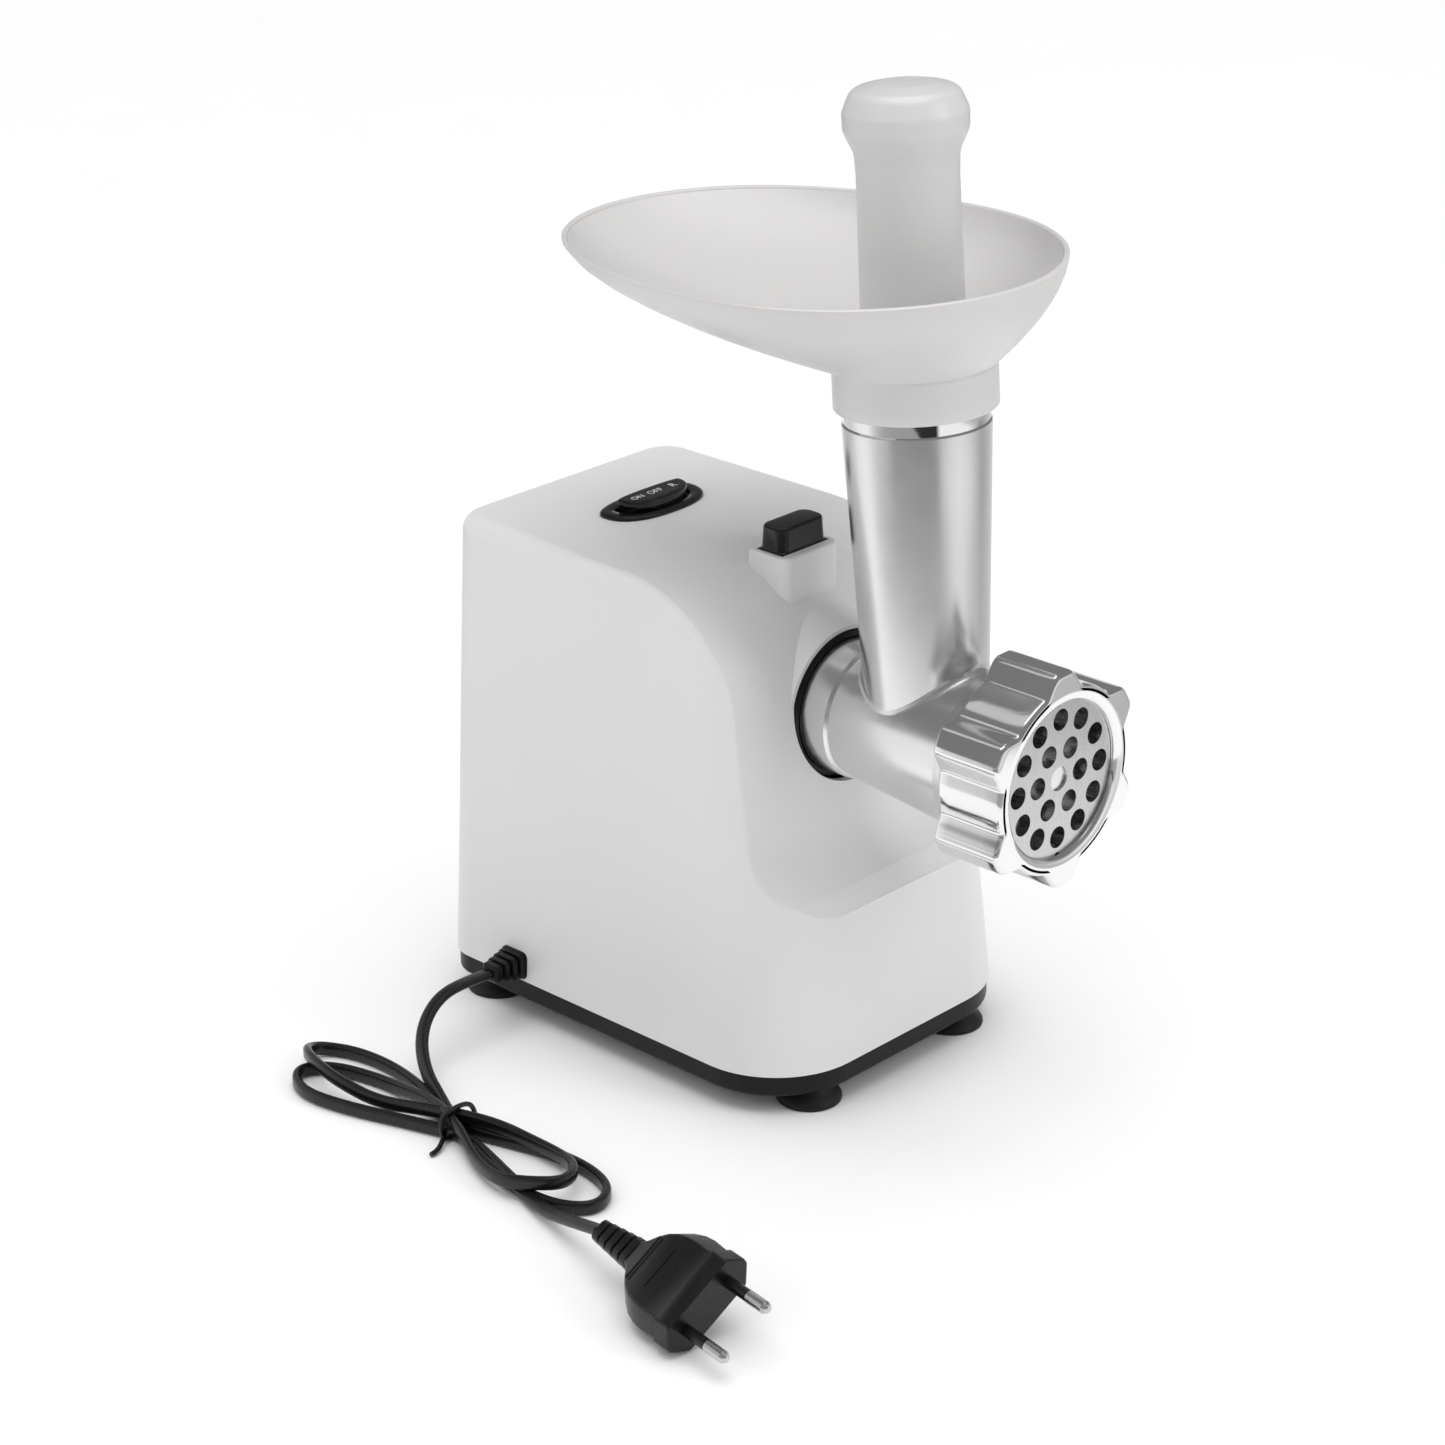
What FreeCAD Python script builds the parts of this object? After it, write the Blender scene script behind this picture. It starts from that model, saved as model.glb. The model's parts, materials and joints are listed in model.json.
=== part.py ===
import FreeCAD, Part
import math
import os

import Sketcher

# Electric meat grinder. Millimetres, +Z up, the grinding head points along -Y, +X to the right of
# somebody who faces the ring nut. The origin is on the table, under the middle of the grinder.

Vector = FreeCAD.Vector
Rotation = FreeCAD.Rotation
Placement = FreeCAD.Placement
X_DIR, Y_DIR, Z_DIR = Vector(1, 0, 0), Vector(0, 1, 0), Vector(0, 0, 1)

doc = FreeCAD.newDocument("MeatGrinder")
sheet = doc.addObject("Spreadsheet::Sheet", "Dims")

DIMENSIONS = {
    # housing
    "overall_depth": 224.0, "housing_width": 124.2, "housing_depth": 161.4, "housing_bottom": 14.8,
    "housing_top": 172.5, "loft_top": 181.5, "side_draft_run": 10.8, "front_draft_run": 13.2,
    "front_corner": 32.0,
    "rear_corner": 13.0, "wall": 2.5, "ledge_low": 66.5, "ledge_high": 72.0, "ledge_run": 5.6,
    "cove_top": 89.5, "cove_back": 22.2, "cove_round": 24.0, "wall_top": 131.5, "wall_back": 29.4,
    "brow_height": 161.0, "brow_back": 45.0, "brow_round": 43.5, "crown_back": 80.0,
    "crown_round": 57.4, "top_edge_round": 6.0, "panel_edge_round": 1.6,
    # base and feet
    "base_bottom": 7.0, "base_inset": 0.8, "base_floor": 2.5, "foot_radius": 11.0, "foot_neck": 7.5,
    "foot_front_x": 36.0, "foot_front_inset": 12.0, "foot_rear_x": 50.5, "foot_rear_inset": 16.0,
    # barrel axis and head
    "axis_height": 125.0, "front_wall": 20.0, "tube_from_axis": 56.0, "tube_lean": 3.6,
    "neck_radius": 22.5, "neck_ring_radius": 25.0, "spigot_radius": 20.4, "barrel_rear_radius": 21.5,
    "barrel_front_radius": 26.0, "thread_radius": 28.6, "bore_rear_radius": 19.0,
    "bore_front_radius": 23.2, "knife_pocket_radius": 25.4, "plate_radius": 27.0,
    "tube_top_radius": 24.2, "tube_low_radius": 19.4, "tube_length": 121.0, "tube_wall": 2.2,
    "seam_round": 2.6, "throat_height": 23.0, "throat_radius": 15.0, "collar_bottom": 109.0,
    "head_front": 108.0, "plate_front": 109.5, "plate_thickness": 5.0,
    "nut_front": 112.0, "nut_back": 86.5, "nut_opening": 25.8, "nut_valley": 31.6,
    "nut_lobe": 36.8, "thread_clearance": 0.3, "running_gap": 0.08,
    # controls
    "switch_y": 68.1, "switch_half_length": 22.0, "switch_half_width": 10.2, "bezel_height": 1.8,
    "rocker_half_length": 16.0, "button_y": 2.7, "button_length": 22.0, "button_width": 11.0,
    "button_top": 183.1, "boss_top": 174.5,
    # gear train
    "drive_module": 0.75, "drive_pinion_teeth": 12.0, "drive_gear_teeth": 68.0,
    "output_module": 1.25, "output_pinion_teeth": 12.0, "output_gear_teeth": 44.0,
    "case_front": 8.0, "case_depth": 26.0, "case_wall": 2.5, "case_half_width": 33.0,
    # motor
    "stator_width": 56.0, "stator_length": 28.0, "stator_front": 52.0, "armature_radius": 15.6,
    "motor_shaft_radius": 3.5,
    # tray and pusher
    "tray_collar_radius": 25.9, "tray_wall": 1.8, "tray_rim_height": 153.4, "tray_tilt": 1.6,
    "egg_centre": 55.2, "egg_radius": 75.9, "egg_taper": 12.3, "egg_stretch": 10.7,
    "pusher_tip_radius": 15.8, "pusher_radius": 16.6, "pusher_neck_radius": 15.8,
    "pusher_top": 209.4, "knob_radius": 19.5,
    # mains cord and plug
    "cord_width": 4.8, "gland_y": 75.3, "gland_height": 20.4, "gland_reach": 12.0,
    "plug_width": 35.3, "plug_thickness": 13.7, "pin_radius": 2.0, "pin_length": 19.0,
    "pin_spacing": 18.6, "plug_roll": 35.0, "plug_yaw": 9.0,
}
for row, (alias, number) in enumerate(DIMENSIONS.items(), start=1):
    sheet.set("A%d" % row, alias)
    sheet.set("B%d" % row, str(number))
    sheet.setAlias("B%d" % row, alias)
doc.recompute()


class Size:
    """A number together with the sheet expression that it comes from."""

    def __init__(self, value, text):
        self.value = float(value)
        self.text = text

    def _with(self, other, sign, value, swap=False):
        other = as_size(other)
        first, second = (other, self) if swap else (self, other)
        return Size(value, "(%s %s %s)" % (first.text, sign, second.text))

    def __add__(self, other):
        return self._with(other, "+", self.value + as_size(other).value)

    def __radd__(self, other):
        return self._with(other, "+", self.value + as_size(other).value, swap=True)

    def __sub__(self, other):
        return self._with(other, "-", self.value - as_size(other).value)

    def __rsub__(self, other):
        return self._with(other, "-", as_size(other).value - self.value, swap=True)

    def __mul__(self, other):
        return self._with(other, "*", self.value * as_size(other).value)

    def __rmul__(self, other):
        return self._with(other, "*", self.value * as_size(other).value, swap=True)

    def __truediv__(self, other):
        return self._with(other, "/", self.value / as_size(other).value)

    def __neg__(self):
        return Size(-self.value, "(0 - %s)" % self.text)


def as_size(value):
    return value if isinstance(value, Size) else Size(value, "%.4f" % value)


class Sheet:
    """dim.wall is the cell with the alias wall, as a Size."""

    def __getattr__(self, alias):
        return Size(sheet.get(alias), "Dims." + alias)


dim = Sheet()
NODES = {}


def node(name, obj):
    """Marks obj as a finished sub-part called name."""
    obj.Label = name
    NODES[name] = obj
    return obj


def bind(obj, **sizes):
    for prop, size in sizes.items():
        obj.setExpression(prop.replace("__", "."), as_size(size).text)


def place(obj, x=0, y=0, z=0, turn=None):
    """Puts obj at x, y, z, each bound to the sheet, with an optional rotation."""
    place_at = Vector(as_size(x).value, as_size(y).value, as_size(z).value)
    obj.Placement = Placement(place_at, turn or Rotation())
    bind(obj, Placement__Base__x=x, Placement__Base__y=y, Placement__Base__z=z)
    return obj


ALONG_Y = Rotation(X_DIR, -90)  # a local +Z becomes the row's +Y
ALONG_X = Rotation(Y_DIR, 90)  # a local +Z becomes the row's +X


# ---- primitives -------------------------------------------------------------------------------


def block(x, y, z, label="block"):
    """A box that spans the three (low, high) pairs."""
    box = doc.addObject("Part::Box", label)
    place(box, x[0], y[0], z[0])
    bind(box, Length=as_size(x[1]) - x[0], Width=as_size(y[1]) - y[0], Height=as_size(z[1]) - z[0])
    return box


def rod(radius, start, length, axis="y", x=0, y=0, z=0):
    """A cylinder along one row axis, from start over length."""
    cylinder = doc.addObject("Part::Cylinder", "rod")
    bind(cylinder, Radius=radius, Height=length)
    if axis == "y":
        return place(cylinder, x, start, z, ALONG_Y)
    if axis == "x":
        return place(cylinder, start, y, z, ALONG_X)
    return place(cylinder, x, y, start)


def cut(base, *tools):
    result = base
    for tool in tools:
        step = doc.addObject("Part::Cut", "cut")
        step.Base, step.Tool = result, tool
        result = step
    return result


def fuse(*shapes):
    result = doc.addObject("Part::MultiFuse", "fuse")
    result.Shapes = list(shapes)
    return result


def group(*shapes):
    result = doc.addObject("Part::Compound", "group")
    result.Links = list(shapes)
    return result


def common(base, tool):
    result = doc.addObject("Part::Common", "common")
    result.Base, result.Tool = base, tool
    return result


def rounded(base, pick, start, end=None):
    """Part fillet on the edges that pick(edge) accepts. pick may return a (start, end) radius pair."""
    doc.recompute()
    result = doc.addObject("Part::Fillet", "fillet")
    result.Base = base
    edges = []
    for index, edge in enumerate(base.Shape.Edges, start=1):
        answer = pick(edge)
        if answer:
            first, last = answer if isinstance(answer, tuple) else (start, end or start)
            edges.append((index, as_size(first).value, as_size(last).value))
    result.Edges = edges
    return result


def solid(label, shape, placement=None):
    """A shape built with Part's own functions, for forms with no primitive or sketch of their own."""
    feature = doc.addObject("Part::Feature", label)
    feature.Shape = shape
    if placement:
        feature.Placement = placement
    return feature


# ---- sketched bodies --------------------------------------------------------------------------


def new_body(label):
    return doc.addObject("PartDesign::Body", label)


def sketch_on(body, role, offset=None):
    """A sketch on one of the body's own origin planes, lifted by offset along its normal."""
    sketch = body.newObject("Sketcher::SketchObject", "outline")
    plane = [f for f in body.Origin.OriginFeatures if f.Role == role][0]
    sketch.AttachmentSupport = [(plane, "")]
    sketch.MapMode = "FlatFace"
    if offset is not None:
        sketch.AttachmentOffset = Placement(Vector(0, 0, as_size(offset).value), Rotation())
        sketch.setExpression("AttachmentOffset.Base.z", as_size(offset).text)
    return sketch


def trace(sketch, points, arcs=None):
    """Closes an outline through points. arcs maps a side's number to its radius, minus for hollow."""
    arcs = arcs or {}
    corners = [(as_size(u), as_size(v)) for u, v in points]
    count = len(corners)
    for side in range(count):
        first, last = corners[side], corners[(side + 1) % count]
        start = Vector(first[0].value, first[1].value, 0)
        end = Vector(last[0].value, last[1].value, 0)
        if side in arcs:
            radius = as_size(arcs[side]).value
            chord = end - start
            middle = (start + end) * 0.5
            across = Vector(-chord.y, chord.x, 0).normalize()
            height = math.sqrt(radius * radius - chord.Length ** 2 / 4)
            centre = middle + across * (height if radius > 0 else -height)
            bulge = middle + (middle - centre).normalize() * (abs(radius) - height)
            sketch.addGeometry(Part.Arc(start, bulge, end), False)
        else:
            sketch.addGeometry(Part.LineSegment(start, end), False)
    for side in range(count):
        ends = arc_ends(sketch, side, corners[side])
        pin_point(sketch, side, ends[0], corners[side])
        if side in arcs:
            pin_point(sketch, side, ends[1], corners[(side + 1) % count])
            radius = abs(as_size(arcs[side]).value)
            index = sketch.addConstraint(Sketcher.Constraint("Radius", side, radius))
            text = as_size(arcs[side]).text
            sketch.setExpression("Constraints[%d]" % index, "abs(%s) * 1 mm" % text)
        elif (side + 1) % count in arcs or side + 1 == count:
            pin_point(sketch, side, ends[1], corners[(side + 1) % count])
        else:
            sketch.addConstraint(Sketcher.Constraint("Coincident", side, ends[1], side + 1, 1))
    return sketch


def arc_ends(sketch, side, corner):
    """Numbers of the geometry's own start and end vertex, in the order that the outline runs."""
    first = sketch.getPoint(side, 1)
    near = math.hypot(first.x - corner[0].value, first.y - corner[1].value) < 1e-6
    return (1, 2) if near else (2, 1)


def pin_point(sketch, side, vertex, corner):
    for kind, size in (("DistanceX", corner[0]), ("DistanceY", corner[1])):
        index = sketch.addConstraint(Sketcher.Constraint(kind, -1, 1, side, vertex, size.value))
        sketch.setExpression("Constraints[%d]" % index, "(%s) * 1 mm" % size.text)


def turned(label, profile, x=0, y=0, z=0, along="y"):
    """A body of revolution. profile is (radius, position along the axis) all the way round."""
    body = new_body(label)
    sketch = trace(sketch_on(body, "XZ_Plane"), profile)
    spin = body.newObject("PartDesign::Revolution", "turning")
    spin.Profile = sketch
    spin.ReferenceAxis = (sketch, ["V_Axis"])
    spin.Angle = 360
    turn = {"y": ALONG_Y, "x": ALONG_X, "z": Rotation()}[along]
    return place(body, x, y, z, turn)


def padded(label, role, outline, length, offset=None, reverse=False, arcs=None):
    """A sketched outline pulled straight out of one of the origin planes."""
    body = new_body(label)
    sketch = trace(sketch_on(body, role, offset), outline, arcs)
    pad = body.newObject("PartDesign::Pad", "pad")
    pad.Profile = sketch
    pad.Reversed = reverse
    bind(pad, Length=length)
    return body


def round_rect(half_x, y_low, y_high, r_front, r_rear):
    """Corner points and arcs of a rounded rectangle that is symmetric about X = 0."""
    half_x, y_low, y_high = as_size(half_x), as_size(y_low), as_size(y_high)
    points = [
        (half_x - r_front, y_low), (half_x, y_low + r_front), (half_x, y_high - r_rear),
        (half_x - r_rear, y_high), (r_rear - half_x, y_high), (-half_x, y_high - r_rear),
        (-half_x, y_low + r_front), (r_front - half_x, y_low),
    ]
    return points, {0: r_front, 2: r_rear, 4: r_rear, 6: r_front}


# ---- housing ----------------------------------------------------------------------------------

back = dim.overall_depth / 2
front = back - dim.housing_depth


def housing_block(label, inset, floor):
    """The drafted block with the stepped front; inset shrinks it for the cavity."""
    body = new_body(label)
    half = dim.housing_width / 2 - inset
    lower = sketch_on(body, "XY_Plane", floor)
    low_front, low_rear = dim.front_corner - inset, dim.rear_corner - inset
    trace(lower, *round_rect(half, front + inset, back - inset, low_front, low_rear))
    upper = sketch_on(body, "XY_Plane", dim.loft_top)
    top_half = half - dim.side_draft_run
    top_front = front + inset + dim.front_draft_run
    trace(upper, *round_rect(top_half, top_front, back - inset, low_front, low_rear))
    loft = body.newObject("PartDesign::AdditiveLoft", "draft")
    loft.Profile = lower
    loft.Sections = [upper]
    loft.Ruled = True
    step = [
        (front + inset - 60, dim.ledge_low - inset),
        (front + inset + dim.ledge_run - 1.2, dim.ledge_low - inset),
        (front + inset + dim.ledge_run + 4.4, dim.ledge_high - inset),
        (front + inset + dim.cove_back, dim.cove_top - inset),
        (front + inset + dim.wall_back, dim.wall_top - inset),
        (front + inset + dim.brow_back, dim.brow_height - inset),
        (front + inset + dim.crown_back, dim.housing_top - inset),
        (back + 30, dim.housing_top - inset), (back + 30, dim.housing_top + 30),
        (front + inset - 60, dim.housing_top + 30),
    ]
    rounds = {2: dim.cove_round, 4: -dim.brow_round, 5: -dim.crown_round}
    side = trace(sketch_on(body, "YZ_Plane"), step, rounds)
    pocket = body.newObject("PartDesign::Pocket", "stepped_front")
    pocket.Profile = side
    pocket.Midplane = True
    pocket.Type = 0
    bind(pocket, Length=dim.housing_width * 2)
    return body


def edge_radius(y):
    """Radius of the housing's upper edge: soft round the top, fading to crisp down the panels."""
    soft, crisp = dim.top_edge_round.value, dim.panel_edge_round.value
    crown_y, brow_y = (front + dim.crown_back).value, (front + dim.brow_back).value
    share = min(1.0, max(0.0, (y - brow_y) / (crown_y - brow_y)))
    share = round(share, 2)
    return crisp + (soft - crisp) * share


def housing_edge(edge):
    """Accepts the rim of the top and the front edges of both side panels, with their radii."""
    box = edge.BoundBox
    across = box.YLength < 0.01 and box.YMax < 100
    low = (dim.cove_top - 19).value
    panel = box.XLength < 10 and abs(edge.CenterOfMass.x) > 40 and box.YMin < 32
    on_top = box.ZMin > dim.housing_top.value - 0.01
    if across or edge.Length < 0.1 or box.ZMin < low or not (panel or on_top):
        return None
    first, last = edge.valueAt(edge.FirstParameter), edge.valueAt(edge.LastParameter)
    return (edge_radius(first.y), edge_radius(last.y))


def slots(count, pitch, make):
    return group(*[make(pitch * (i - (count - 1) / 2)) for i in range(count)])


def lens_plate(half_length, near, far, low, high):
    """A boat-shaped plate over the switch: its front side bulges by near and its rear side by far."""
    half_length, y, tip = as_size(half_length), dim.switch_y, 1.5
    points = [
        (-half_length, y - tip), (half_length, y - tip), (half_length, y + tip), (-half_length, y + tip)
    ]
    radii = [(half_length.value ** 2 + sag ** 2) / (2 * sag) for sag in (near - tip, far - tip)]
    return padded("lens", "XY_Plane", points, as_size(high) - low, low, arcs={0: radii[0], 2: radii[1]})


def neck_boss():
    """A flared white boss that carries the collar of the neck out to the front wall's plane."""
    flare = doc.addObject("Part::Cone", "neck_boss")
    start = dim.neck_ring_radius + 1.6
    bind(flare, Radius1=start, Radius2=start + 6.5, Height=14)
    return place(flare, 0, -dim.front_wall, dim.axis_height, ALONG_Y)


def housing_shell():
    top, floor = dim.housing_top, dim.housing_bottom
    outer = rounded(housing_block("housing_outer", 0, floor), housing_edge, 1)
    cavity = housing_block("housing_cavity", dim.wall, floor - 5)
    half_x, half_y = dim.button_length / 2 + 2.2, dim.button_width / 2 + 1.8
    y_mid = as_size(dim.button_y)
    boss = block((-half_x, half_x), (y_mid - half_y - 2, y_mid + half_y), (150, dim.boss_top))
    doc.recompute()
    boss = rounded(boss, lambda e: e.BoundBox.ZLength > 10 and e.BoundBox.YMax < y_mid.value, 4.0)
    boss = rounded(boss, lambda e: e.BoundBox.ZMin > (dim.boss_top - 0.1).value, 0.8)
    hollow = block(
        (1.6 - half_x, half_x - 1.6), (y_mid - half_y - 0.4, y_mid + half_y - 1.6),
        (140, dim.boss_top - 1.8),
    )
    shell = cut(fuse(outer, boss, neck_boss()), cavity)
    button_hole = block(
        (-dim.button_length / 2 - 0.3, dim.button_length / 2 + 0.3),
        (y_mid - dim.button_width / 2 - 0.3, y_mid + dim.button_width / 2 + 0.3), (150, 200),
    )
    neck_hole = rod(dim.neck_ring_radius + 0.1, -40, 40, z=dim.axis_height)
    switch_hole = lens_plate(18.7, 8.5, 7.3, top - 8, top + 4)
    gland_hole = block(
        (-70, -50), (dim.gland_y - 5, dim.gland_y + 5), (dim.gland_height - 4, dim.gland_height + 4)
    )
    louvres = slots(7, 7.0, lambda shift: block((-24, 24), (back - 6, back + 6), (71 + shift, 74 + shift)))
    return cut(shell, hollow, button_hole, neck_hole, switch_hole, gland_hole, louvres)


node("housing_shell", housing_shell())


# ---- base plate, feet and screws --------------------------------------------------------------

foot_front_y, foot_rear_y = front + dim.foot_front_inset, back - dim.foot_rear_inset
foot_places = {
    "foot_front_left": (-dim.foot_front_x, foot_front_y),
    "foot_front_right": (dim.foot_front_x, foot_front_y),
    "foot_rear_left": (-dim.foot_rear_x, foot_rear_y), "foot_rear_right": (dim.foot_rear_x, foot_rear_y),
}
case_foot = dim.axis_height - 93  # underside of the gear case and of the motor


def base_plate():
    inset, floor = dim.base_inset, dim.base_bottom
    half = dim.housing_width / 2 - inset
    outline = round_rect(
        half, front + inset, back - inset, dim.front_corner - inset, dim.rear_corner - inset
    )
    inner = round_rect(half - 2.5, front + inset + 2.5, back - inset - 2.5, 28, 9)
    tray = padded("base_outer", "XY_Plane", outline[0], dim.housing_bottom - floor, floor, arcs=outline[1])
    tray = rounded(tray, lambda e: e.BoundBox.ZMax < floor.value + 0.01, 1.5)
    recess = padded("base_recess", "XY_Plane", inner[0], 30, floor + dim.base_floor, arcs=inner[1])
    vents = slots(8, 7.0, lambda shift: block((-20, 20), (55 + shift, 58 + shift), (0, 30)))
    bores = [rod(2.2, 0, 30, "z", x, y) for x, y in foot_places.values()]
    posts = []
    for side in (-1, 1):
        low_x = side * 24 - 4
        posts.append(block((low_x, low_x + 8), (14, 28), (floor + 1, case_foot)))
        posts.append(block((low_x, low_x + 8), (60, 74), (floor + 1, case_foot)))
    bosses = [rod(4.5, floor + 1, 8, "z", x, y) for x, y in foot_places.values()]
    base = cut(tray, recess)
    return cut(fuse(base, *posts, *bosses), vents, *bores)


node("base_plate", base_plate())

foot_height = dim.base_bottom
for name, (x, y) in foot_places.items():
    bell = [
        (0, 1.4), (dim.foot_radius - 2.5, 0), (dim.foot_radius, 0), (dim.foot_radius, 1.4),
        (dim.foot_neck + 1.0, 4.2), (dim.foot_neck, 5.6), (dim.foot_neck, foot_height), (2.3, foot_height),
        (2.3, 3.2), (0, 3.2),
    ]
    node(name, turned(name, bell, x, y, 0, "z"))


def screw(x, y, z, length, head=3.6, shank=1.9, down=True):
    """A pan-head screw whose head bears at height z; the shank runs away from the head."""
    sign = -1 if down else 1
    profile = [
        (0, 0), (shank, 0), (shank, length), (head, length), (head, length + 1.4),
        (head - 1.0, length + 2.2),
        (1.0, length + 2.2), (0.8, length + 1.2), (0, length + 1.2),
    ]
    body = turned("screw", profile, x, y, z, "z")
    if not down:
        body.Placement = Placement(body.Placement.Base, Rotation(X_DIR, 180))
    return body


node("foot_screws", group(*[screw(x, y, 3.6, foot_height + 9 - 3.6) for x, y in foot_places.values()]))


# ---- neck ring, socket and gear case ----------------------------------------------------------

wall_y = -dim.front_wall
axis = dim.axis_height
ring_in, ring_out = dim.neck_radius + 0.3, dim.neck_ring_radius
socket_bore = dim.spigot_radius + dim.running_gap
node("neck_ring", turned("neck_ring", [
    (ring_in, wall_y - 0.8), (ring_out - 0.5, wall_y - 0.8), (ring_out, wall_y - 0.3),
    (ring_out, wall_y + 3.4),
    (ring_in, wall_y + 3.4),
], z=axis))
socket = turned("socket", [
    (ring_in, wall_y + 3.6), (ring_out - 0.4, wall_y + 3.6), (ring_out - 0.4, -3), (29, -3),
    (29, dim.case_front), (socket_bore, dim.case_front),
    (socket_bore, wall_y + 5.4), (ring_in, wall_y + 5.4),
], z=axis)
latch_slot = block((-8, 8), (-2.4, 1.4), (axis + 19, axis + 40))
node("head_socket", cut(socket, latch_slot))

stage_one = dim.drive_module * (dim.drive_pinion_teeth + dim.drive_gear_teeth) / 2
stage_two = dim.output_module * (dim.output_pinion_teeth + dim.output_gear_teeth) / 2
middle_z = axis - stage_two
motor_z = middle_z - stage_one
case_back = dim.case_front + dim.case_depth
case_low, case_high = motor_z - 28, axis + 32


def gear_case():
    half, wall = dim.case_half_width, dim.case_wall
    shell = block((-half, half), (dim.case_front, case_back), (case_low, case_high))
    room = block(
        (wall - half, half - wall), (dim.case_front + wall, case_back + 1),
        (case_low + wall, case_high - wall)
    )
    shell = rounded(
        cut(shell, room), lambda e: e.BoundBox.YLength > 20 and abs(e.CenterOfMass.x) > half.value - 0.1, 6
    )
    corners = [(sx * (half - 5.5), z) for sx in (-1, 1) for z in (case_low + 23, case_high - 5.5)]
    pillars = [rod(3.6, dim.case_front + 1, dim.case_depth - 1, x=x, z=z) for x, z in corners]
    hub = rod(8, dim.case_front + 1, 3.2, z=middle_z)
    holes = [rod(1.9, dim.case_front + 6, dim.case_depth, x=x, z=z) for x, z in corners]
    body = fuse(shell, hub, *pillars)
    output_hole = rod(8.5, 0, 20, z=axis)
    shaft_hole = rod(5.0, dim.case_front + 1.5, 5, z=middle_z)
    return cut(body, output_hole, shaft_hole, *holes), corners


case_shape, case_corners = gear_case()
node("gearbox_case", case_shape)
cover = block(
    (-dim.case_half_width, dim.case_half_width), (case_back, case_back + 3), (case_low, case_high)
)
cover = rounded(cover, lambda e: e.BoundBox.YLength > 2 and abs(e.CenterOfMass.x) > 32, 6)
cover_bosses = [
    rod(9, case_back + 2, 5, z=motor_z), rod(10.5, case_back + 2, 3.5, z=axis),
    rod(7, case_back + 2, 2, z=middle_z)
]
stator_corners = [(sx * 22, motor_z + sz * 22) for sx in (-1, 1) for sz in (-1, 1)]
stator_posts = [
    rod(4, case_back + 2, dim.stator_front - case_back - 2, x=x, z=z) for x, z in stator_corners
]
cover_holes = [rod(6.5, case_back - 1, 20, z=motor_z), rod(7.5, case_back - 1, 8, z=axis)]
cover_holes += [rod(5.0, case_back - 1, 4, z=middle_z)]
cover_holes += [rod(2.1, case_back - 1, 8, x=x, z=z) for x, z in case_corners]
cover_holes += [rod(1.8, case_back + 4, 20, x=x, z=z) for x, z in stator_corners]
cover = cut(fuse(cover, *cover_bosses, *stator_posts), *cover_holes)
node("gearbox_cover", cover)


def screw_along_y(x, z, head_y, length, head=3.4, shank=1.85):
    """A screw that points towards -Y with its head's underside at head_y."""
    return turned("screw", [
        (0, head_y - length), (shank, head_y - length), (shank, head_y), (head, head_y),
        (head, head_y + 1.6),
        (head - 0.8, head_y + 2.3), (0.9, head_y + 2.3), (0.9, head_y + 1.2), (0, head_y + 1.2),
    ], x=x, z=z)


node("gearbox_screws", group(*[screw_along_y(x, z, case_back + 3, 14) for x, z in case_corners]))


# ---- gears and shafts -------------------------------------------------------------------------

PRESSURE_ANGLE = math.radians(20)
BACKLASH = 0.18


def involute(angle):
    return math.tan(angle) - angle


def gear_solid(teeth, module, width, bore, phase=0.0, tip=0.8, root=1.2):
    """A spur gear on local Z. phase turns it by that share of a tooth pitch."""
    teeth = int(teeth.value)
    pitch_radius = module.value * teeth / 2
    base_radius = pitch_radius * math.cos(PRESSURE_ANGLE)
    tip_radius, root_radius = pitch_radius + tip * module.value, pitch_radius - root * module.value
    half_tooth = math.pi / (2 * teeth) - BACKLASH / (2 * pitch_radius) + involute(PRESSURE_ANGLE)
    flank = []
    for step in range(5):
        radius = max(root_radius, base_radius) + (tip_radius - max(root_radius, base_radius)) * step / 4
        flank.append((radius, half_tooth - involute(math.acos(min(1.0, base_radius / radius)))))
    if root_radius < base_radius:
        flank.insert(0, (root_radius, half_tooth))
    points = []
    for tooth in range(teeth):
        middle = 2 * math.pi * (tooth + phase) / teeth
        around = [(r, middle - a) for r, a in flank] + [(r, middle + a) for r, a in reversed(flank)]
        points += [Vector(r * math.cos(a), r * math.sin(a), 0) for r, a in around]
    face = Part.Face(Part.makePolygon(points + points[:1]))
    gear = face.extrude(Vector(0, 0, as_size(width).value))
    return gear.cut(Part.makeCylinder(as_size(bore).value, as_size(width).value))


def gear(name, teeth, module, width, bore, y, z, phase=0.0):
    shape = gear_solid(teeth, module, width, bore, phase)
    return node(name, place(solid(name, shape), 0, y, z, ALONG_Y))


gear("output_gear", dim.output_gear_teeth, dim.output_module, 10, 6.0, 12.5, axis)
gear("intermediate_pinion", dim.output_pinion_teeth, dim.output_module, 11, 4.0, 12.4, middle_z, 0.5)
gear("intermediate_gear", dim.drive_gear_teeth, dim.drive_module, 6, 4.0, 24, middle_z)
gear("motor_pinion", dim.drive_pinion_teeth, dim.drive_module, 8, 2.5, 23, motor_z, 0.5)


def shaft(name, z, *steps):
    """A stepped shaft along Y. Each step is (radius, y where it starts); the last entry only ends it."""
    profile = [(0, steps[0][1])]
    for (radius, start), (_, end) in zip(steps, steps[1:]):
        profile += [(radius, start), (radius, end)]
    profile.append((0, steps[-1][1]))
    return node(name, turned(name, profile, z=z))


def ring(y_low, y_high, inner, outer, z, x=0):
    return turned("ring", [(inner, y_low), (outer, y_low), (outer, y_high), (inner, y_high)], x=x, z=z)


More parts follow.
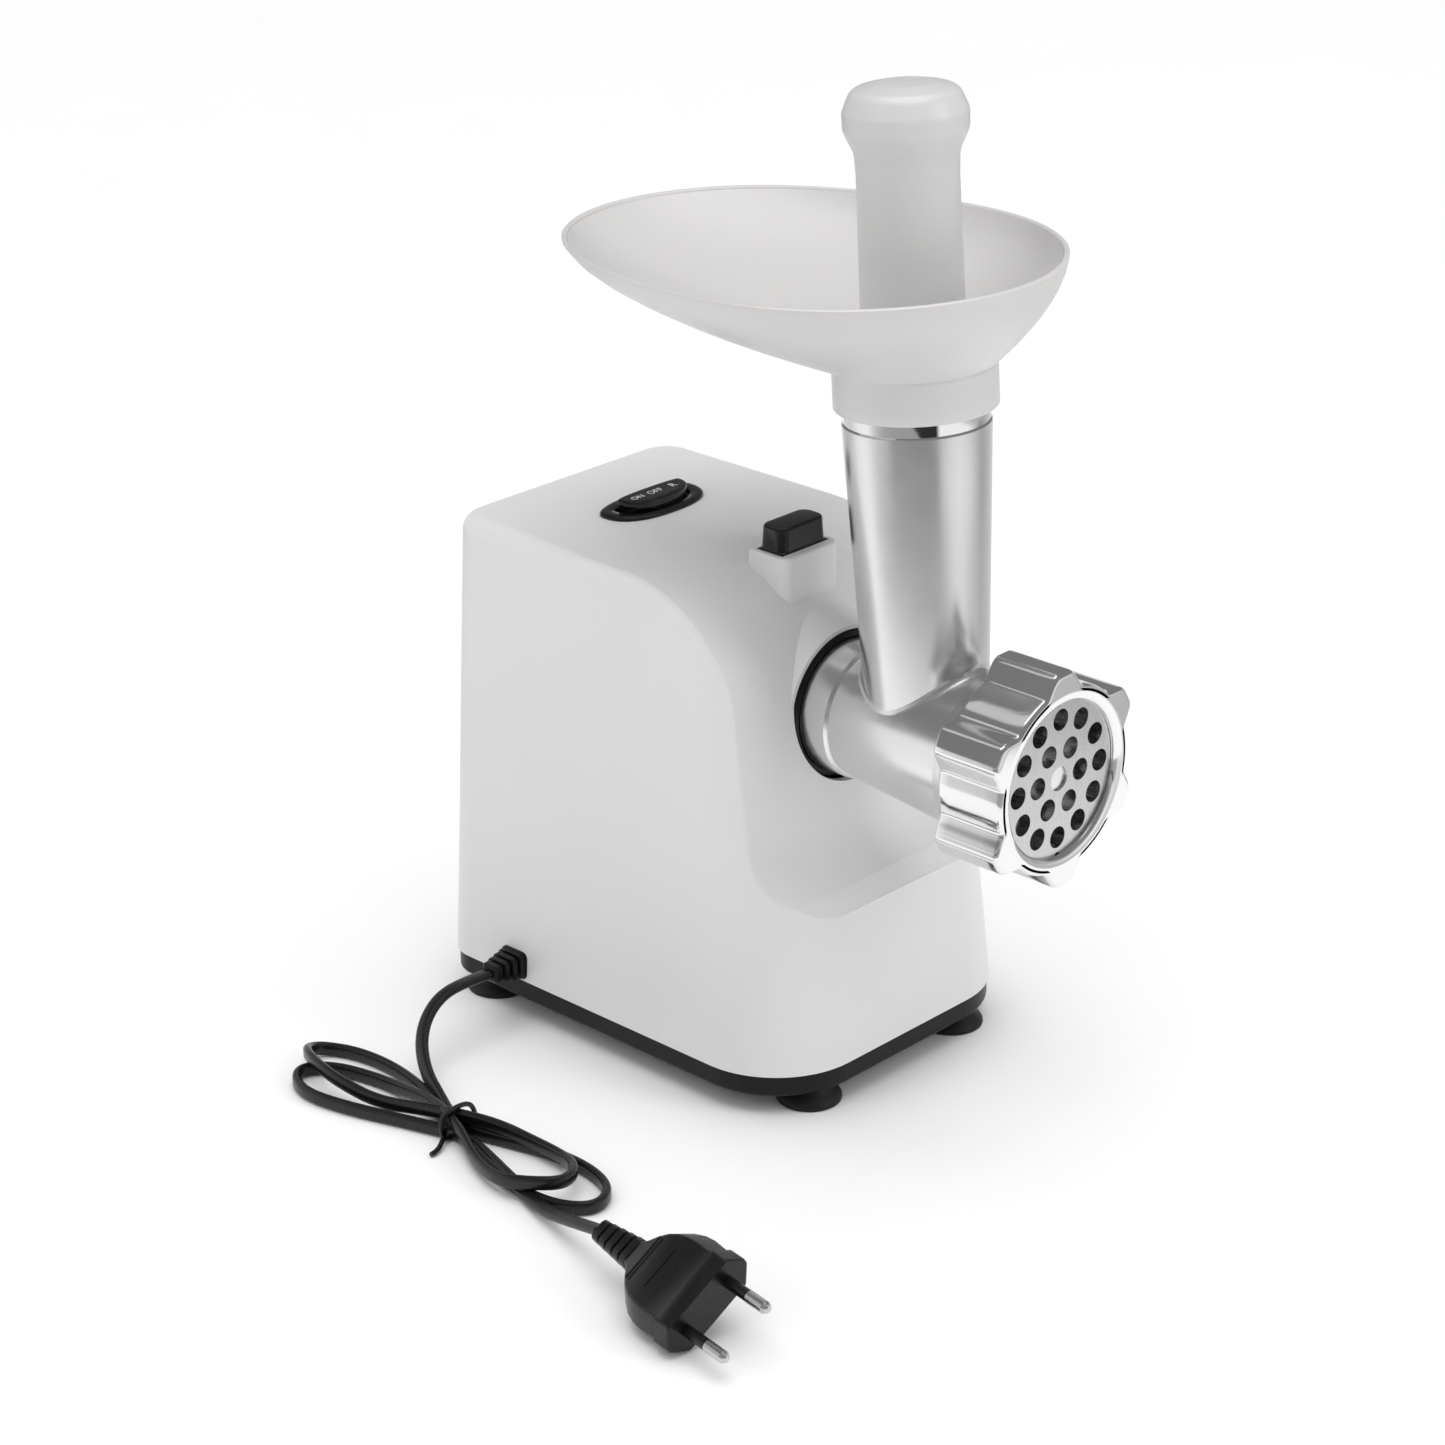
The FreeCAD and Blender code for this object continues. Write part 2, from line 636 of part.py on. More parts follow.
shaft("output_shaft", axis, (6.0, 2.0), (6.0, case_back + 3))
shaft("intermediate_shaft", middle_z, (4.0, 9.8), (4.0, case_back + 2.6))
shaft("motor_shaft", motor_z, (2.5, 22.0), (dim.motor_shaft_radius, 32.0), (0, 106.0))
gap = dim.running_gap
node("shaft_bushes", group(
    ring(dim.case_front, 12.3, 6 + gap, 8.5, axis), ring(case_back, case_back + 5.5, 6 + gap, 7.5, axis),
    ring(9.5, 12.3, 4 + gap, 5, middle_z), ring(case_back, case_back + 3, 4 + gap, 5, middle_z),
))
socket_half = 5.0
coupling = turned(
    "coupling", [(0, -13), (10.5, -13), (11.5, -12), (11.5, 7.8), (6, 7.8), (6, 2), (0, 2)], z=axis
)
square_socket = block((-socket_half, socket_half), (-14, 1.5), (axis - socket_half, axis + socket_half))
node("drive_coupling", cut(coupling, square_socket))


# ---- motor ------------------------------------------------------------------------------------

stator_front = dim.stator_front
stator_back = stator_front + dim.stator_length
half_stator = dim.stator_width / 2


def stator_core():
    stack = block(
        (-half_stator, half_stator), (stator_front, stator_back),
        (motor_z - half_stator, motor_z + half_stator)
    )
    stack = rounded(stack, lambda e: e.BoundBox.YLength > 20, 6)
    windows = [
        block((sx * 20.5 - 3.5, sx * 20.5 + 3.5), (0, 120), (motor_z - 12, motor_z + 12)) for sx in (-1, 1)
    ]
    bolts = [rod(2.0, 40, 60, x=x, z=z) for x, z in stator_corners]
    return cut(stack, rod(dim.armature_radius + 0.6, 40, 60, z=motor_z), *windows, *bolts)


def field_coil(up):
    low, high = (motor_z + 1, motor_z + 21) if up > 0 else (motor_z - 21, motor_z - 1)
    bar_z = (motor_z + 1, motor_z + 11.5) if up > 0 else (motor_z - 11.5, motor_z - 1)
    bars = [
        block((sx * 20.4 - 3.1, sx * 20.4 + 3.1), (stator_front - 1, stator_back + 1), bar_z)
        for sx in (-1, 1)
    ]
    ends = [
        block((-23.5, 23.5), y, (low, high))
        for y in ((stator_front - 2.4, stator_front), (stator_back, stator_back + 2.4))
    ]
    ends = [
        rounded(end, lambda e: e.BoundBox.YLength > 2 and abs(e.CenterOfMass.z - motor_z.value) > 15, 9)
        for end in ends
    ]
    posts = [rod(4.3, 40, 60, x=x, z=z) for x, z in stator_corners]
    return cut(fuse(*bars, *ends), rod(dim.armature_radius + 1.3, 40, 60, z=motor_z), *posts)


node("stator_core", stator_core())
node("field_coils", group(field_coil(1), field_coil(-1)))

core = rod(dim.armature_radius, stator_front, dim.stator_length, z=motor_z)
teeth_gaps = []
for slot in range(12):
    angle = math.radians(30 * slot)
    gap_rod = rod(
        1.9, 40, 60, x=(dim.armature_radius - 2.6) * math.cos(angle),
        z=motor_z + (dim.armature_radius - 2.6) * math.sin(angle),
    )
    teeth_gaps.append(gap_rod)
node("armature_core", cut(core, *teeth_gaps, rod(dim.motor_shaft_radius, 40, 60, z=motor_z)))
node("armature_windings", group(*[
    turned("winding", [
        (dim.motor_shaft_radius, low), (13.6, low), (14.4, (low + high) / 2), (13.6, high),
        (dim.motor_shaft_radius, high),
    ], z=motor_z) for low, high in ((48.8, 52.0), (80.0, 86.0))
]))
commutator = rod(9, 87, 11, z=motor_z)
bars = []
for bar in range(12):
    slit = block((0, 12), (88.5, 99), (-0.3, 0.3))
    slit.Placement = Placement(Vector(0, 88.5, motor_z.value), Rotation(Y_DIR, 15 + 30 * bar))
    bars.append(cut(slit, place(rod(7.6, 80, 30, z=motor_z), 0, 80, motor_z, ALONG_Y)))
node("commutator", cut(commutator, rod(dim.motor_shaft_radius, 80, 30, z=motor_z), *bars))


def cooling_fan():
    hub = ring(42.4, 48.2, dim.motor_shaft_radius, 6.5, motor_z)
    disc = ring(46.8, 48.2, 6, 25, motor_z)
    blades = []
    for index in range(11):
        blade = doc.addObject("Part::Box", "blade")
        bind(blade, Length=19.5, Width=5.0, Height=1.1)
        blade.Placement = Placement(
            Vector(0, 42.4, motor_z.value), Rotation(Y_DIR, 360 * index / 11)
        ).multiply(
            Placement(Vector(5.2, 0, 1.5), Rotation(Y_DIR, 12)))
        blades.append(blade)
    return fuse(hub, disc, *blades)


node("cooling_fan", cooling_fan())


def motor_bracket():
    plate = block((-half_stator, half_stator), (100, 103), (motor_z - half_stator, motor_z + half_stator))
    plate = rounded(plate, lambda e: e.BoundBox.YLength > 2, 6)
    pillars = [rod(4, stator_back, 21, x=x, z=z) for x, z in stator_corners]
    arms = [
        block((sx * 26 - 1.5, sx * 26 + 1.5), (stator_back + 3, 101), (motor_z - 9, motor_z + 9))
        for sx in (-1, 1)
    ]
    windows = [rod(5, 90, 20, x=sx * 15, z=motor_z + sz * 15) for sx in (-1, 1) for sz in (-1, 1)]
    boss = rod(9, 101, 5.6, z=motor_z)
    bolts = [rod(2.0, 70, 60, x=x, z=z) for x, z in stator_corners]
    return cut(fuse(plate, boss, *pillars, *arms), rod(6.5, 90, 20, z=motor_z), *windows, *bolts)


node("motor_bracket", motor_bracket())
node("motor_bearings", group(
    ring(34.8, 40.8, dim.motor_shaft_radius + 0.05, 6.5, motor_z),
    ring(100.2, 106.4, dim.motor_shaft_radius + 0.05, 6.5, motor_z)
))
node("motor_screws", group(*[screw_along_y(x, z, 103, 60, shank=1.75) for x, z in stator_corners]))
holders, brushes = [], []
for side in (-1, 1):
    span = sorted((side * 10.2, side * 24.5))
    tube = cut(
        block(span, (89, 97), (motor_z - 4, motor_z + 4)),
        block((-40, 40), (90.2, 95.8), (motor_z - 2.8, motor_z + 2.8))
    )
    holders.append(tube)
    brush = block(sorted((side * 8.0, side * 20)), (90.3, 95.7), (motor_z - 2.7, motor_z + 2.7))
    brushes.append(cut(brush, rod(9.12, 80, 30, z=motor_z)))
node("brush_holders", group(*holders))
node("carbon_brushes", group(*brushes))


# ---- switch and lock button -------------------------------------------------------------------

top = dim.housing_top
rim = lens_plate(dim.switch_half_length, 10.4, 9.2, top, top + dim.bezel_height)
rim = rounded(rim, lambda e: e.BoundBox.ZMin > (top + 1.5).value, 0.8)
skirt = lens_plate(18.4, 8.2, 7.0, top - 6.5, top + 1)
hinge_z = top - 2.5
bezel_hole = lens_plate(17.2, 7.0, 5.8, top - 10, top + 10)
bezel_bore = rod(1.48, dim.switch_y - 9, 18, z=hinge_z)
node("switch_bezel", cut(fuse(rim, skirt), bezel_hole, bezel_bore))
node("switch_body", block((-15, 15), (dim.switch_y - 8, dim.switch_y + 8), (top - 23, top - 7.5)))
rocker = lens_plate(dim.rocker_half_length, 6.4, 5.0, top - 1, top + 5)
rocker = rounded(rocker, lambda e: e.BoundBox.ZMin > (top + 4.9).value, 0.7)
rocker_hub = rod(1.4, dim.switch_y - 7.6, 14.2, z=hinge_z)
rocker_web = block((-1.4, 1.4), (dim.switch_y - 4, dim.switch_y + 4), (hinge_z, top))
node("switch_rocker", fuse(rocker, rocker_hub, rocker_web))

button_low = dim.boss_top - 13.5
half_length, half_width = dim.button_length / 2, dim.button_width / 2
cap = block(
    (-half_length, half_length), (dim.button_y - half_width, dim.button_y + half_width),
    (button_low, dim.button_top)
)
cap = rounded(cap, lambda e: e.BoundBox.ZLength > 10, 2.0)
cap = rounded(cap, lambda e: e.BoundBox.ZMin > (dim.button_top - 0.1).value, 0.9)
flange = block((-13, 13), (dim.button_y + 2.8, dim.button_y + half_width), (button_low, button_low + 2))
spring_y, spring_foot, spring_head = dim.button_y + 1.6, axis + 29.1, button_low + 11
node("lock_button", cut(fuse(cap, flange), rod(2.7, button_low - 1, 12, "z", 0, spring_y)))
node("lock_latch", block((-6, 6), (-1.6, 0.6), (button_low - 9.5, button_low)))


def coil_spring(radius, wire, low, high, turns):
    height = as_size(high).value - as_size(low).value - 2 * wire
    helix = Part.makeHelix(height / turns, height, radius)
    circle = Part.Wire(Part.makeCircle(wire, Vector(radius, 0, 0), Y_DIR))
    return Part.Wire(helix.Edges).makePipeShell([circle], True, True)


spring = solid("lock_spring", coil_spring(1.9, 0.4, spring_foot, spring_head, 6))
node("lock_spring", place(spring, 0, spring_y, spring_foot + 0.4))


# ---- grinder head -----------------------------------------------------------------------------

tube_place = Placement(
    Vector(0, -dim.tube_from_axis.value, axis.value), Rotation(X_DIR, -dim.tube_lean.value)
)


def along_tube(obj):
    """Stands obj on the barrel's axis, leaning with the feed tube."""
    obj.Placement = tube_place
    bind(obj, Placement__Base__y=-dim.tube_from_axis, Placement__Base__z=axis)
    return obj


def tube_radius(height):
    return dim.tube_low_radius + (dim.tube_top_radius - dim.tube_low_radius) * (
        as_size(height) / dim.tube_length
    )


def grinder_head():
    outside = turned("head_outside", [
        (0, 3), (dim.spigot_radius - 0.8, 3), (dim.spigot_radius, 2.2), (dim.spigot_radius, wall_y + 5),
        (dim.neck_radius, wall_y + 5), (dim.neck_radius, -31.0), (dim.neck_radius - 0.8, -31.8),
        (dim.barrel_rear_radius, -31.8), (dim.barrel_front_radius, -80), (dim.thread_radius - 1.2, -86),
        (dim.thread_radius, -87.2), (dim.thread_radius, -dim.head_front + 0.6),
        (dim.thread_radius - 0.6, -dim.head_front), (0, -dim.head_front),
    ], z=axis)
    length = dim.tube_length
    groove = dim.collar_bottom - 5
    tube = along_tube(turned("tube_outside", [
        (0, 0), (dim.tube_low_radius, 0), (tube_radius(groove), groove),
        (tube_radius(groove) - 0.5, groove + 0.7),
        (tube_radius(groove) - 0.2, dim.collar_bottom + 1), (dim.tube_top_radius - 0.4, length - 0.5),
        (dim.tube_top_radius - 0.8, length), (0, length)
    ], along="z"))
    joined = fuse(outside, tube)

    def seam(edge):
        box = edge.BoundBox
        near = box.ZMin > (axis + 2).value and box.ZMax < (axis + 40).value
        return edge.Curve.TypeId == "Part::GeomBSplineCurve" and near

    joined = rounded(joined, seam, dim.seam_round)
    throat = along_tube(turned("tube_inside", [
        (0, 0), (dim.throat_radius, 0), (dim.throat_radius, dim.throat_height),
        (tube_radius(dim.throat_height) - dim.tube_wall, dim.throat_height),
        (dim.tube_top_radius - dim.tube_wall, length), (dim.tube_top_radius - dim.tube_wall, length + 2),
        (0, length + 2),
    ], along="z"))
    bore = turned("barrel_inside", [
        (0, -31), (dim.bore_rear_radius, -31), (dim.bore_front_radius, -90), (dim.knife_pocket_radius, -90),
        (dim.knife_pocket_radius, -104.5), (dim.plate_radius + gap, -104.5),
        (dim.plate_radius + gap, -110), (0, -110),
    ], z=axis)
    spigot_room = ring(-25, 10, 12, 17, axis)
    hub_end = rod(14, -15, 30, z=axis)
    journal_bore = rod(8.6, -40, 40, z=axis)
    body = cut(joined, bore, throat, spigot_room, hub_end, journal_bore)
    key_slot = rod(1.5, -120, 20, z=axis - dim.plate_radius)
    return cut(body, key_slot)


node("grinder_head", grinder_head())
node("head_bush", ring(-31, -15, 7 + gap, 8.6, axis))
node("plate_key", rod(1.5, -107.8, 7.8, z=axis - dim.plate_radius))


# ---- auger, blade, plate and ring nut ---------------------------------------------------------

AUGER_FRONT, AUGER_REAR = -96.8, -33.0
envelope_gap = 0.5


def envelope_radius(y):
    """Radius that the auger's flight may reach at y, just clear of the barrel's tapered bore."""
    share = (-31 - y) / 59.0
    rear, front_r = dim.bore_rear_radius.value, dim.bore_front_radius.value
    return rear + (front_r - rear) * min(1.0, share) - envelope_gap


def auger_flight():
    """A helical ridge along local Z, wider at its root, trimmed to the bore's taper."""
    pitch, turns = 17.0, 3.6
    helix = Part.makeHelix(pitch, pitch * turns, 14)
    ridge = Part.makePolygon([
        Vector(7.5, 0, -3.0), Vector(25, 0, -1.3), Vector(25, 0, 1.3), Vector(7.5, 0, 3.0),
        Vector(7.5, 0, -3.0),
    ])
    return Part.Wire(helix.Edges).makePipeShell([ridge], True, True)


def auger():
    core_shape = Part.makeCone(10.5, 8.6, AUGER_REAR - AUGER_FRONT)
    flight = auger_flight()
    flight.translate(Vector(0, 0, 1.8))
    length = AUGER_REAR - AUGER_FRONT
    limit = Part.makeCone(envelope_radius(-90), envelope_radius(AUGER_REAR), length)
    screw_shape = core_shape.fuse(flight.common(limit)).common(Part.makeCylinder(30, length))
    screw_shape = screw_shape.removeSplitter()
    body = place(solid("auger_screw", screw_shape), 0, AUGER_FRONT, axis, ALONG_Y)
    journal = rod(7.0, AUGER_REAR - 0.5, 19.5, z=axis)
    tang = block((-4.7, 4.7), (-14.5, 0.5), (axis - 4.7, axis + 4.7))
    nose = block((-4.7, 4.7), (-103.4, AUGER_FRONT + 0.5), (axis - 4.7, axis + 4.7))
    pin = rod(3.9, -108.6, 6, z=axis)
    return fuse(body, journal, tang, nose, pin)


node("auger", auger())
node("auger_washer", ring(AUGER_REAR, -31.1, 7.0, 13, axis))

blade_arm = [(0, -3.4), (24.4, -2.2), (24.4, 2.6), (0, 3.4)]
arms = []
for quarter in range(4):
    arm = padded("blade_arm", "XY_Plane", blade_arm, 5.2)
    arm.Placement = Placement(Vector(0, -104.42, axis.value), Rotation(Y_DIR, 45 + 90 * quarter)).multiply(
        Placement(Vector(0, 0, 0), ALONG_Y))
    arms.append(arm)
hub = rod(9.5, -104.42, 7.2, z=axis)
node("cutting_blade", cut(fuse(hub, *arms), block((-4.8, 4.8), (-110, -90), (axis - 4.8, axis + 4.8))))


def cutting_plate():
    """A steel disc with two rings of holes, a centre bore and a notch for the locating pin."""
    body = new_body("plate")
    disc = sketch_on(body, "XY_Plane")
    add_circle(disc, 0, 0, dim.plate_radius)
    pad = body.newObject("PartDesign::Pad", "disc")
    pad.Profile = disc
    bind(pad, Length=dim.plate_thickness)
    last = pocket_circle(body, 0, 0, 4.0)
    last = pocket_circle(body, 0, dim.plate_radius, 1.8)
    for count, distance, radius in ((6, 10.4, 3.6), (12, 20.0, 3.6)):
        last = pocket_circle(body, distance, 0, radius)
        pattern = body.newObject("PartDesign::PolarPattern", "holes")
        pattern.Originals = [last]
        pattern.Axis = (
            body.Origin.OriginFeatures[[f.Role for f in body.Origin.OriginFeatures].index("Z_Axis")], [""]
        )
        pattern.Angle = 360
        pattern.Occurrences = count
        body.Tip = pattern
    return place(body, 0, -dim.plate_front, axis, ALONG_Y)


def add_circle(sketch, x, y, radius):
    x, y, radius = as_size(x), as_size(y), as_size(radius)
    circle = Part.Circle(Vector(x.value, y.value, 0), Z_DIR, radius.value)
    index = sketch.addGeometry(circle, False)
    pin_point(sketch, index, 3, (x, y))
    constraint = sketch.addConstraint(Sketcher.Constraint("Radius", index, radius.value))
    sketch.setExpression("Constraints[%d]" % constraint, "(%s) * 1 mm" % radius.text)


def pocket_circle(body, x, y, radius):
    sketch = sketch_on(body, "XY_Plane")
    add_circle(sketch, x, y, radius)
    pocket = body.newObject("PartDesign::Pocket", "hole")
    pocket.Profile = sketch
    pocket.Type = 1
    pocket.Midplane = True
    return pocket


node("cutting_plate", cutting_plate())


def ring_nut():
    """Six ridged lobes round a threaded ring; the front lip holds the plate."""
    blank = turned("nut_blank", [
        (dim.thread_radius + dim.thread_clearance, -dim.nut_back), (dim.nut_lobe - 1.2, -dim.nut_back),
        (dim.nut_lobe, -dim.nut_back - 1.2), (dim.nut_lobe, -dim.nut_front + 1.4),
        (dim.nut_lobe - 1.4, -dim.nut_front),
        (dim.nut_opening + 0.8, -dim.nut_front), (dim.nut_opening, -dim.nut_front + 0.8),
        (dim.nut_opening, -dim.plate_front - 0.1),
        (dim.thread_radius + dim.thread_clearance, -dim.plate_front - 0.1),
    ], z=axis)
    hollow = 56.0
    distance = dim.nut_valley + hollow
    scallops = []
    for lobe in range(6):
        angle = math.radians(62 + 60 * lobe)
        scallops.append(
            rod(hollow, -130, 60, x=distance * math.cos(angle), z=axis + distance * math.sin(angle))
        )
    return cut(blank, *scallops)


node("ring_nut", ring_nut())


# ---- hopper tray and food pusher --------------------------------------------------------------


def egg_point(theta):
    """A point of the tray's rim, as X and Y about the feed tube's axis; theta 0 points to the rear."""
    radius = (
        dim.egg_radius.value - dim.egg_taper.value * math.cos(theta)
        + dim.egg_stretch.value * math.cos(2 * theta)
    )
    return radius * math.sin(theta), dim.egg_centre.value + radius * math.cos(theta)


def bowl_ring(height, spread, inset, throat):
    """A closed curve between the round throat (spread 0) and the egg-shaped rim (spread 1)."""
    points = []
    for step in range(28):
        x, y = egg_point(2 * math.pi * step / 28)
        reach = math.hypot(x, y)
        radius = throat + (reach - inset - throat) * spread
        rise = height + radius * y / reach * math.tan(math.radians(dim.tray_tilt.value)) * spread
        points.append(Vector(radius * x / reach, radius * y / reach, rise))
    curve = Part.BSplineCurve()
    curve.interpolate(points, PeriodicFlag=True)
    return Part.Wire(curve.toShape())


def bowl(inset, throat, lift):
    """The bowl's outer or inner form, from the throat up to the rim, along the feed tube's axis."""
    low, high = dim.tube_length.value + 1.2, dim.tray_rim_height.value
    rings = []
    for share in (0.0, 0.12, 0.3, 0.55, 0.8, 1.0):
        spread = 1 - (1 - share) ** 1.75
        rings.append(bowl_ring(low + (high - low) * share + lift, spread, inset, throat))
    return Part.makeLoft(rings, True, False)


def upright_cylinder(radius, low, high):
    return Part.makeCylinder(radius, high - low, Vector(0, 0, low))


def hopper_tray():
    length = dim.tube_length.value
    collar_outer, wall = dim.tray_collar_radius.value, dim.tray_wall.value
    mouth = dim.tube_top_radius.value - dim.tube_wall.value
    bottom = dim.collar_bottom.value
    outer_shape = bowl(0, collar_outer - 0.7, 0).fuse(upright_cylinder(collar_outer, bottom, length + 3))
    shape = outer_shape.cut(bowl(wall, mouth + 0.6, wall)).cut(upright_cylinder(mouth, bottom, length + 5))
    shape = shape.cut(upright_cylinder(dim.tube_top_radius.value + 0.2, bottom - 5, length + 0.1))
    return shape.removeSplitter()


tray = solid("tray", hopper_tray())
node("hopper_tray", along_tube(tray))

tip = dim.throat_height
node("food_pusher", along_tube(turned("pusher", [
    (13.6, tip), (dim.pusher_tip_radius - 0.8, tip), (dim.pusher_tip_radius, tip + 0.8),
    (dim.pusher_radius, 112),
    (dim.pusher_neck_radius, 180), (dim.pusher_neck_radius + 0.5, 187), (dim.knob_radius - 1.0, 193),
    (dim.knob_radius, 197.5), (dim.knob_radius - 0.3, 201.5), (dim.knob_radius - 2.2, 205.5),
    (dim.knob_radius - 7, 208.6), (0, dim.pusher_top), (0, 206.4), (11, 206), (15.5, 202), (15.5, 196),
    (13.2, 186),
], along="z")))


# ---- mains cord -------------------------------------------------------------------------------

cord_radius = dim.cord_width.value / 2
gland_tip = -dim.housing_width.value / 2 - dim.gland_reach.value
gland_y, gland_z = dim.gland_y.value, dim.gland_height.value


def strain_relief():
    """A ribbed, tapering sleeve that stands out of the left side, with its clamp inside the wall."""
    side = -dim.housing_width / 2
    y, z = dim.gland_y, dim.gland_height
    inner = block((side + 0.2, side + 6), (y - 4.6, y + 4.6), (z - 3.6, z + 3.6))
    clamp = block((side + 3.6, side + 6.5), (y - 6, y + 6), (z - 5, z + 5))
    core_rod = rod(3.0, gland_tip, dim.gland_reach + 1, axis="x", y=y, z=z)
    ribs = []
    for index, (half_y, half_z) in enumerate(((5.4, 4.6), (4.9, 4.1), (4.4, 3.7), (3.9, 3.4))):
        low = side - 2.2 - 2.9 * index
        rib = block(
            (low, low + (2.1 if index == 0 else 1.9)), (y - half_y, y + half_y), (z - half_z, z + half_z)
        )
        ribs.append(rounded(rib, lambda e: e.BoundBox.XLength > 1.5, 1.6))
    return cut(
        fuse(inner, clamp, core_rod, *ribs), rod(cord_radius * 0.6, side - 0.5, 12, axis="x", y=y, z=z)
    )


node("strain_relief", strain_relief())
node("terminal_block", block((-54, -42), (65, 85), (dim.base_bottom + dim.base_floor, 24)))
node(
    "suppression_capacitor",
    rounded(block((-53, -41), (66, 84), (24, 35)), lambda e: e.BoundBox.ZLength > 5, 1.5)
)

plug_origin = Vector(-157.6, -62.9, 13.4)
plug_turn = Rotation(Z_DIR, 180 - dim.plug_yaw.value).multiply(Rotation(Y_DIR, dim.plug_roll.value))
plug_place = Placement(plug_origin, plug_turn)

LEAD_ROUTE = [
    (gland_tip, gland_y, gland_z), (-82.5, 75.6, 21), (-94.6, 76.4, 20.2), (-104.4, 74.2, 16.6),
    (-112.5, 68, 12.4),
    (-118.5, 59.5, 9.8),
]
TAIL_ROUTE = [(-148.9, -30.2, 3.6), (-150.9, -39.1, 4.2), (-154.5, -52.4, 8.4), (-157.6, -62.9, 13.4)]


def cord_tube(name, route):
    """Straight runs joined by tangent arcs, each as large as its two runs allow."""
    points = [Vector(*p) for p in route]
    edges, radii = [], []
    start = points[0]
    for before, corner, after in zip(points, points[1:], points[2:]):
        arriving, leaving = (corner - before), (after - corner)
        reach = 0.45 * min(arriving.Length, leaving.Length)
        turn = arriving.getAngle(leaving)
        radius = reach / math.tan(turn / 2)
        first = corner - Vector(arriving).normalize() * reach
        last = corner + Vector(leaving).normalize() * reach
        inward = (Vector(leaving).normalize() - Vector(arriving).normalize()).normalize()
        crown = corner + inward * (radius / math.cos(turn / 2) - radius)
        edges.append(Part.LineSegment(start, first).toShape())
        edges.append(Part.Arc(first, crown, last).toShape())
        radii.append(round(radius, 1))
        start = last
    edges.append(Part.LineSegment(start, points[-1]).toShape())
    path = Part.Wire(edges)
    section = Part.Wire(Part.makeCircle(cord_radius, points[0], points[1] - points[0]))
    tube = path.makePipeShell([section], True, True)
    expected = math.pi * cord_radius ** 2 * path.Length
    print(
        name, "radii", radii, "length", round(path.Length, 1), "volume ratio",
        round(tube.Volume / expected, 4)
    )
    return node(name, solid(name, tube))


cord_tube("cord_lead", LEAD_ROUTE)
cord_tube("cord_tail", TAIL_ROUTE)

HANK_OUTLINE = [
    (-124.9, 35.0), (-118.0, 55.7), (-116.0, 83.4), (-120.9, 103.1), (-134.8, 105.6), (-149.6, 98.2),
    (-153.5, 81.4), (-146.6, 53.7), (-137.7, 35.0), (-137.7, 23.1), (-148.6, 2.4), (-152.0, -19.3),
    (-144.6, -37.1), (-130.8, -42.1), (-119.9, -33.2), (-118.5, -13.4), (-122.4, 10.3), (-125.9, 23.1),
]
HANK_HEIGHT = 9.0


def cord_hank():
    """Outer shape of the tied bow of cord that lies on the table."""
    curve = Part.BSplineCurve()
    curve.interpolate([Vector(x, y, 0.2) for x, y in HANK_OUTLINE], PeriodicFlag=True)
    face = Part.Face(Part.Wire(curve.toShape()))
    return face.extrude(Vector(0, 0, HANK_HEIGHT - 0.2))


node("cord_hank", solid("cord_hank", cord_hank()))
tie_room = block((-138.2, -124.4), (20, 40), (0.8, HANK_HEIGHT + 0.4))
node("cord_tie", cut(block((-139.2, -123.4), (27.6, 30.4), (0, HANK_HEIGHT + 1.4)), tie_room))


def plug_section(y, width, thickness):
    """The flattened hexagon of a two-pin plug, across its axis at y."""
    half, flat, deep = width / 2, width * 0.37, thickness / 2
    points = [(half, 0), (flat, deep), (-flat, deep), (-half, 0), (-flat, -deep), (flat, -deep)]
    return Part.makePolygon([Vector(x, y, z) for x, z in points + points[:1]])


PLUG_FRONT = 54.0


def plug_body():
    width, thickness = dim.plug_width.value, dim.plug_thickness.value
    sections = [(20, 13, 8.5), (26, 24, 12), (33, 33.5, thickness - 0.2), (PLUG_FRONT, width, thickness)]
    body = Part.makeLoft([plug_section(*s) for s in sections], True, True)
    sleeve = Part.makeCone(3.6, 5.2, 22, Vector(0, 0, 0), Y_DIR)
    shape = body.fuse(sleeve)
    for side in (-1, 1):
        seat = Vector(side * dim.pin_spacing.value / 2, PLUG_FRONT - 6, 0)
        shape = shape.cut(Part.makeCylinder(1.5, 7, seat, Y_DIR))
    return shape.removeSplitter()


def plug_pins(profile):
    """The same turned profile on both pin axes; profile is (radius, distance along the plug)."""
    points = [Vector(r, y, 0) for r, y in profile]
    turned_pin = Part.Face(Part.makePolygon(points + points[:1])).revolve(Vector(), Y_DIR, 360)
    pins = []
    for side in (-1, 1):
        copy = turned_pin.copy()
        copy.translate(Vector(side * dim.pin_spacing.value / 2, 0, 0))
        pins.append(copy)
    return Part.makeCompound(pins)


pin_radius = dim.pin_radius.value
pin_end = PLUG_FRONT + dim.pin_length.value
sleeve_end = PLUG_FRONT + 10
node("plug_body", solid("plug_body", plug_body(), plug_place))
node("plug_pins", solid("plug_pins", plug_pins([
    (0, PLUG_FRONT - 6), (1.5, PLUG_FRONT - 6), (1.5, sleeve_end), (pin_radius, sleeve_end),
    (pin_radius, pin_end - 1.6),
    (pin_radius - 0.6, pin_end - 0.4), (pin_radius - 1.2, pin_end), (0, pin_end),
]), plug_place))
node("pin_sleeves", solid("pin_sleeves", plug_pins([
    (1.5, PLUG_FRONT), (pin_radius - 0.1, PLUG_FRONT), (pin_radius - 0.1, sleeve_end), (1.5, sleeve_end),
]), plug_place))


# ---- checks and export ------------------------------------------------------------------------

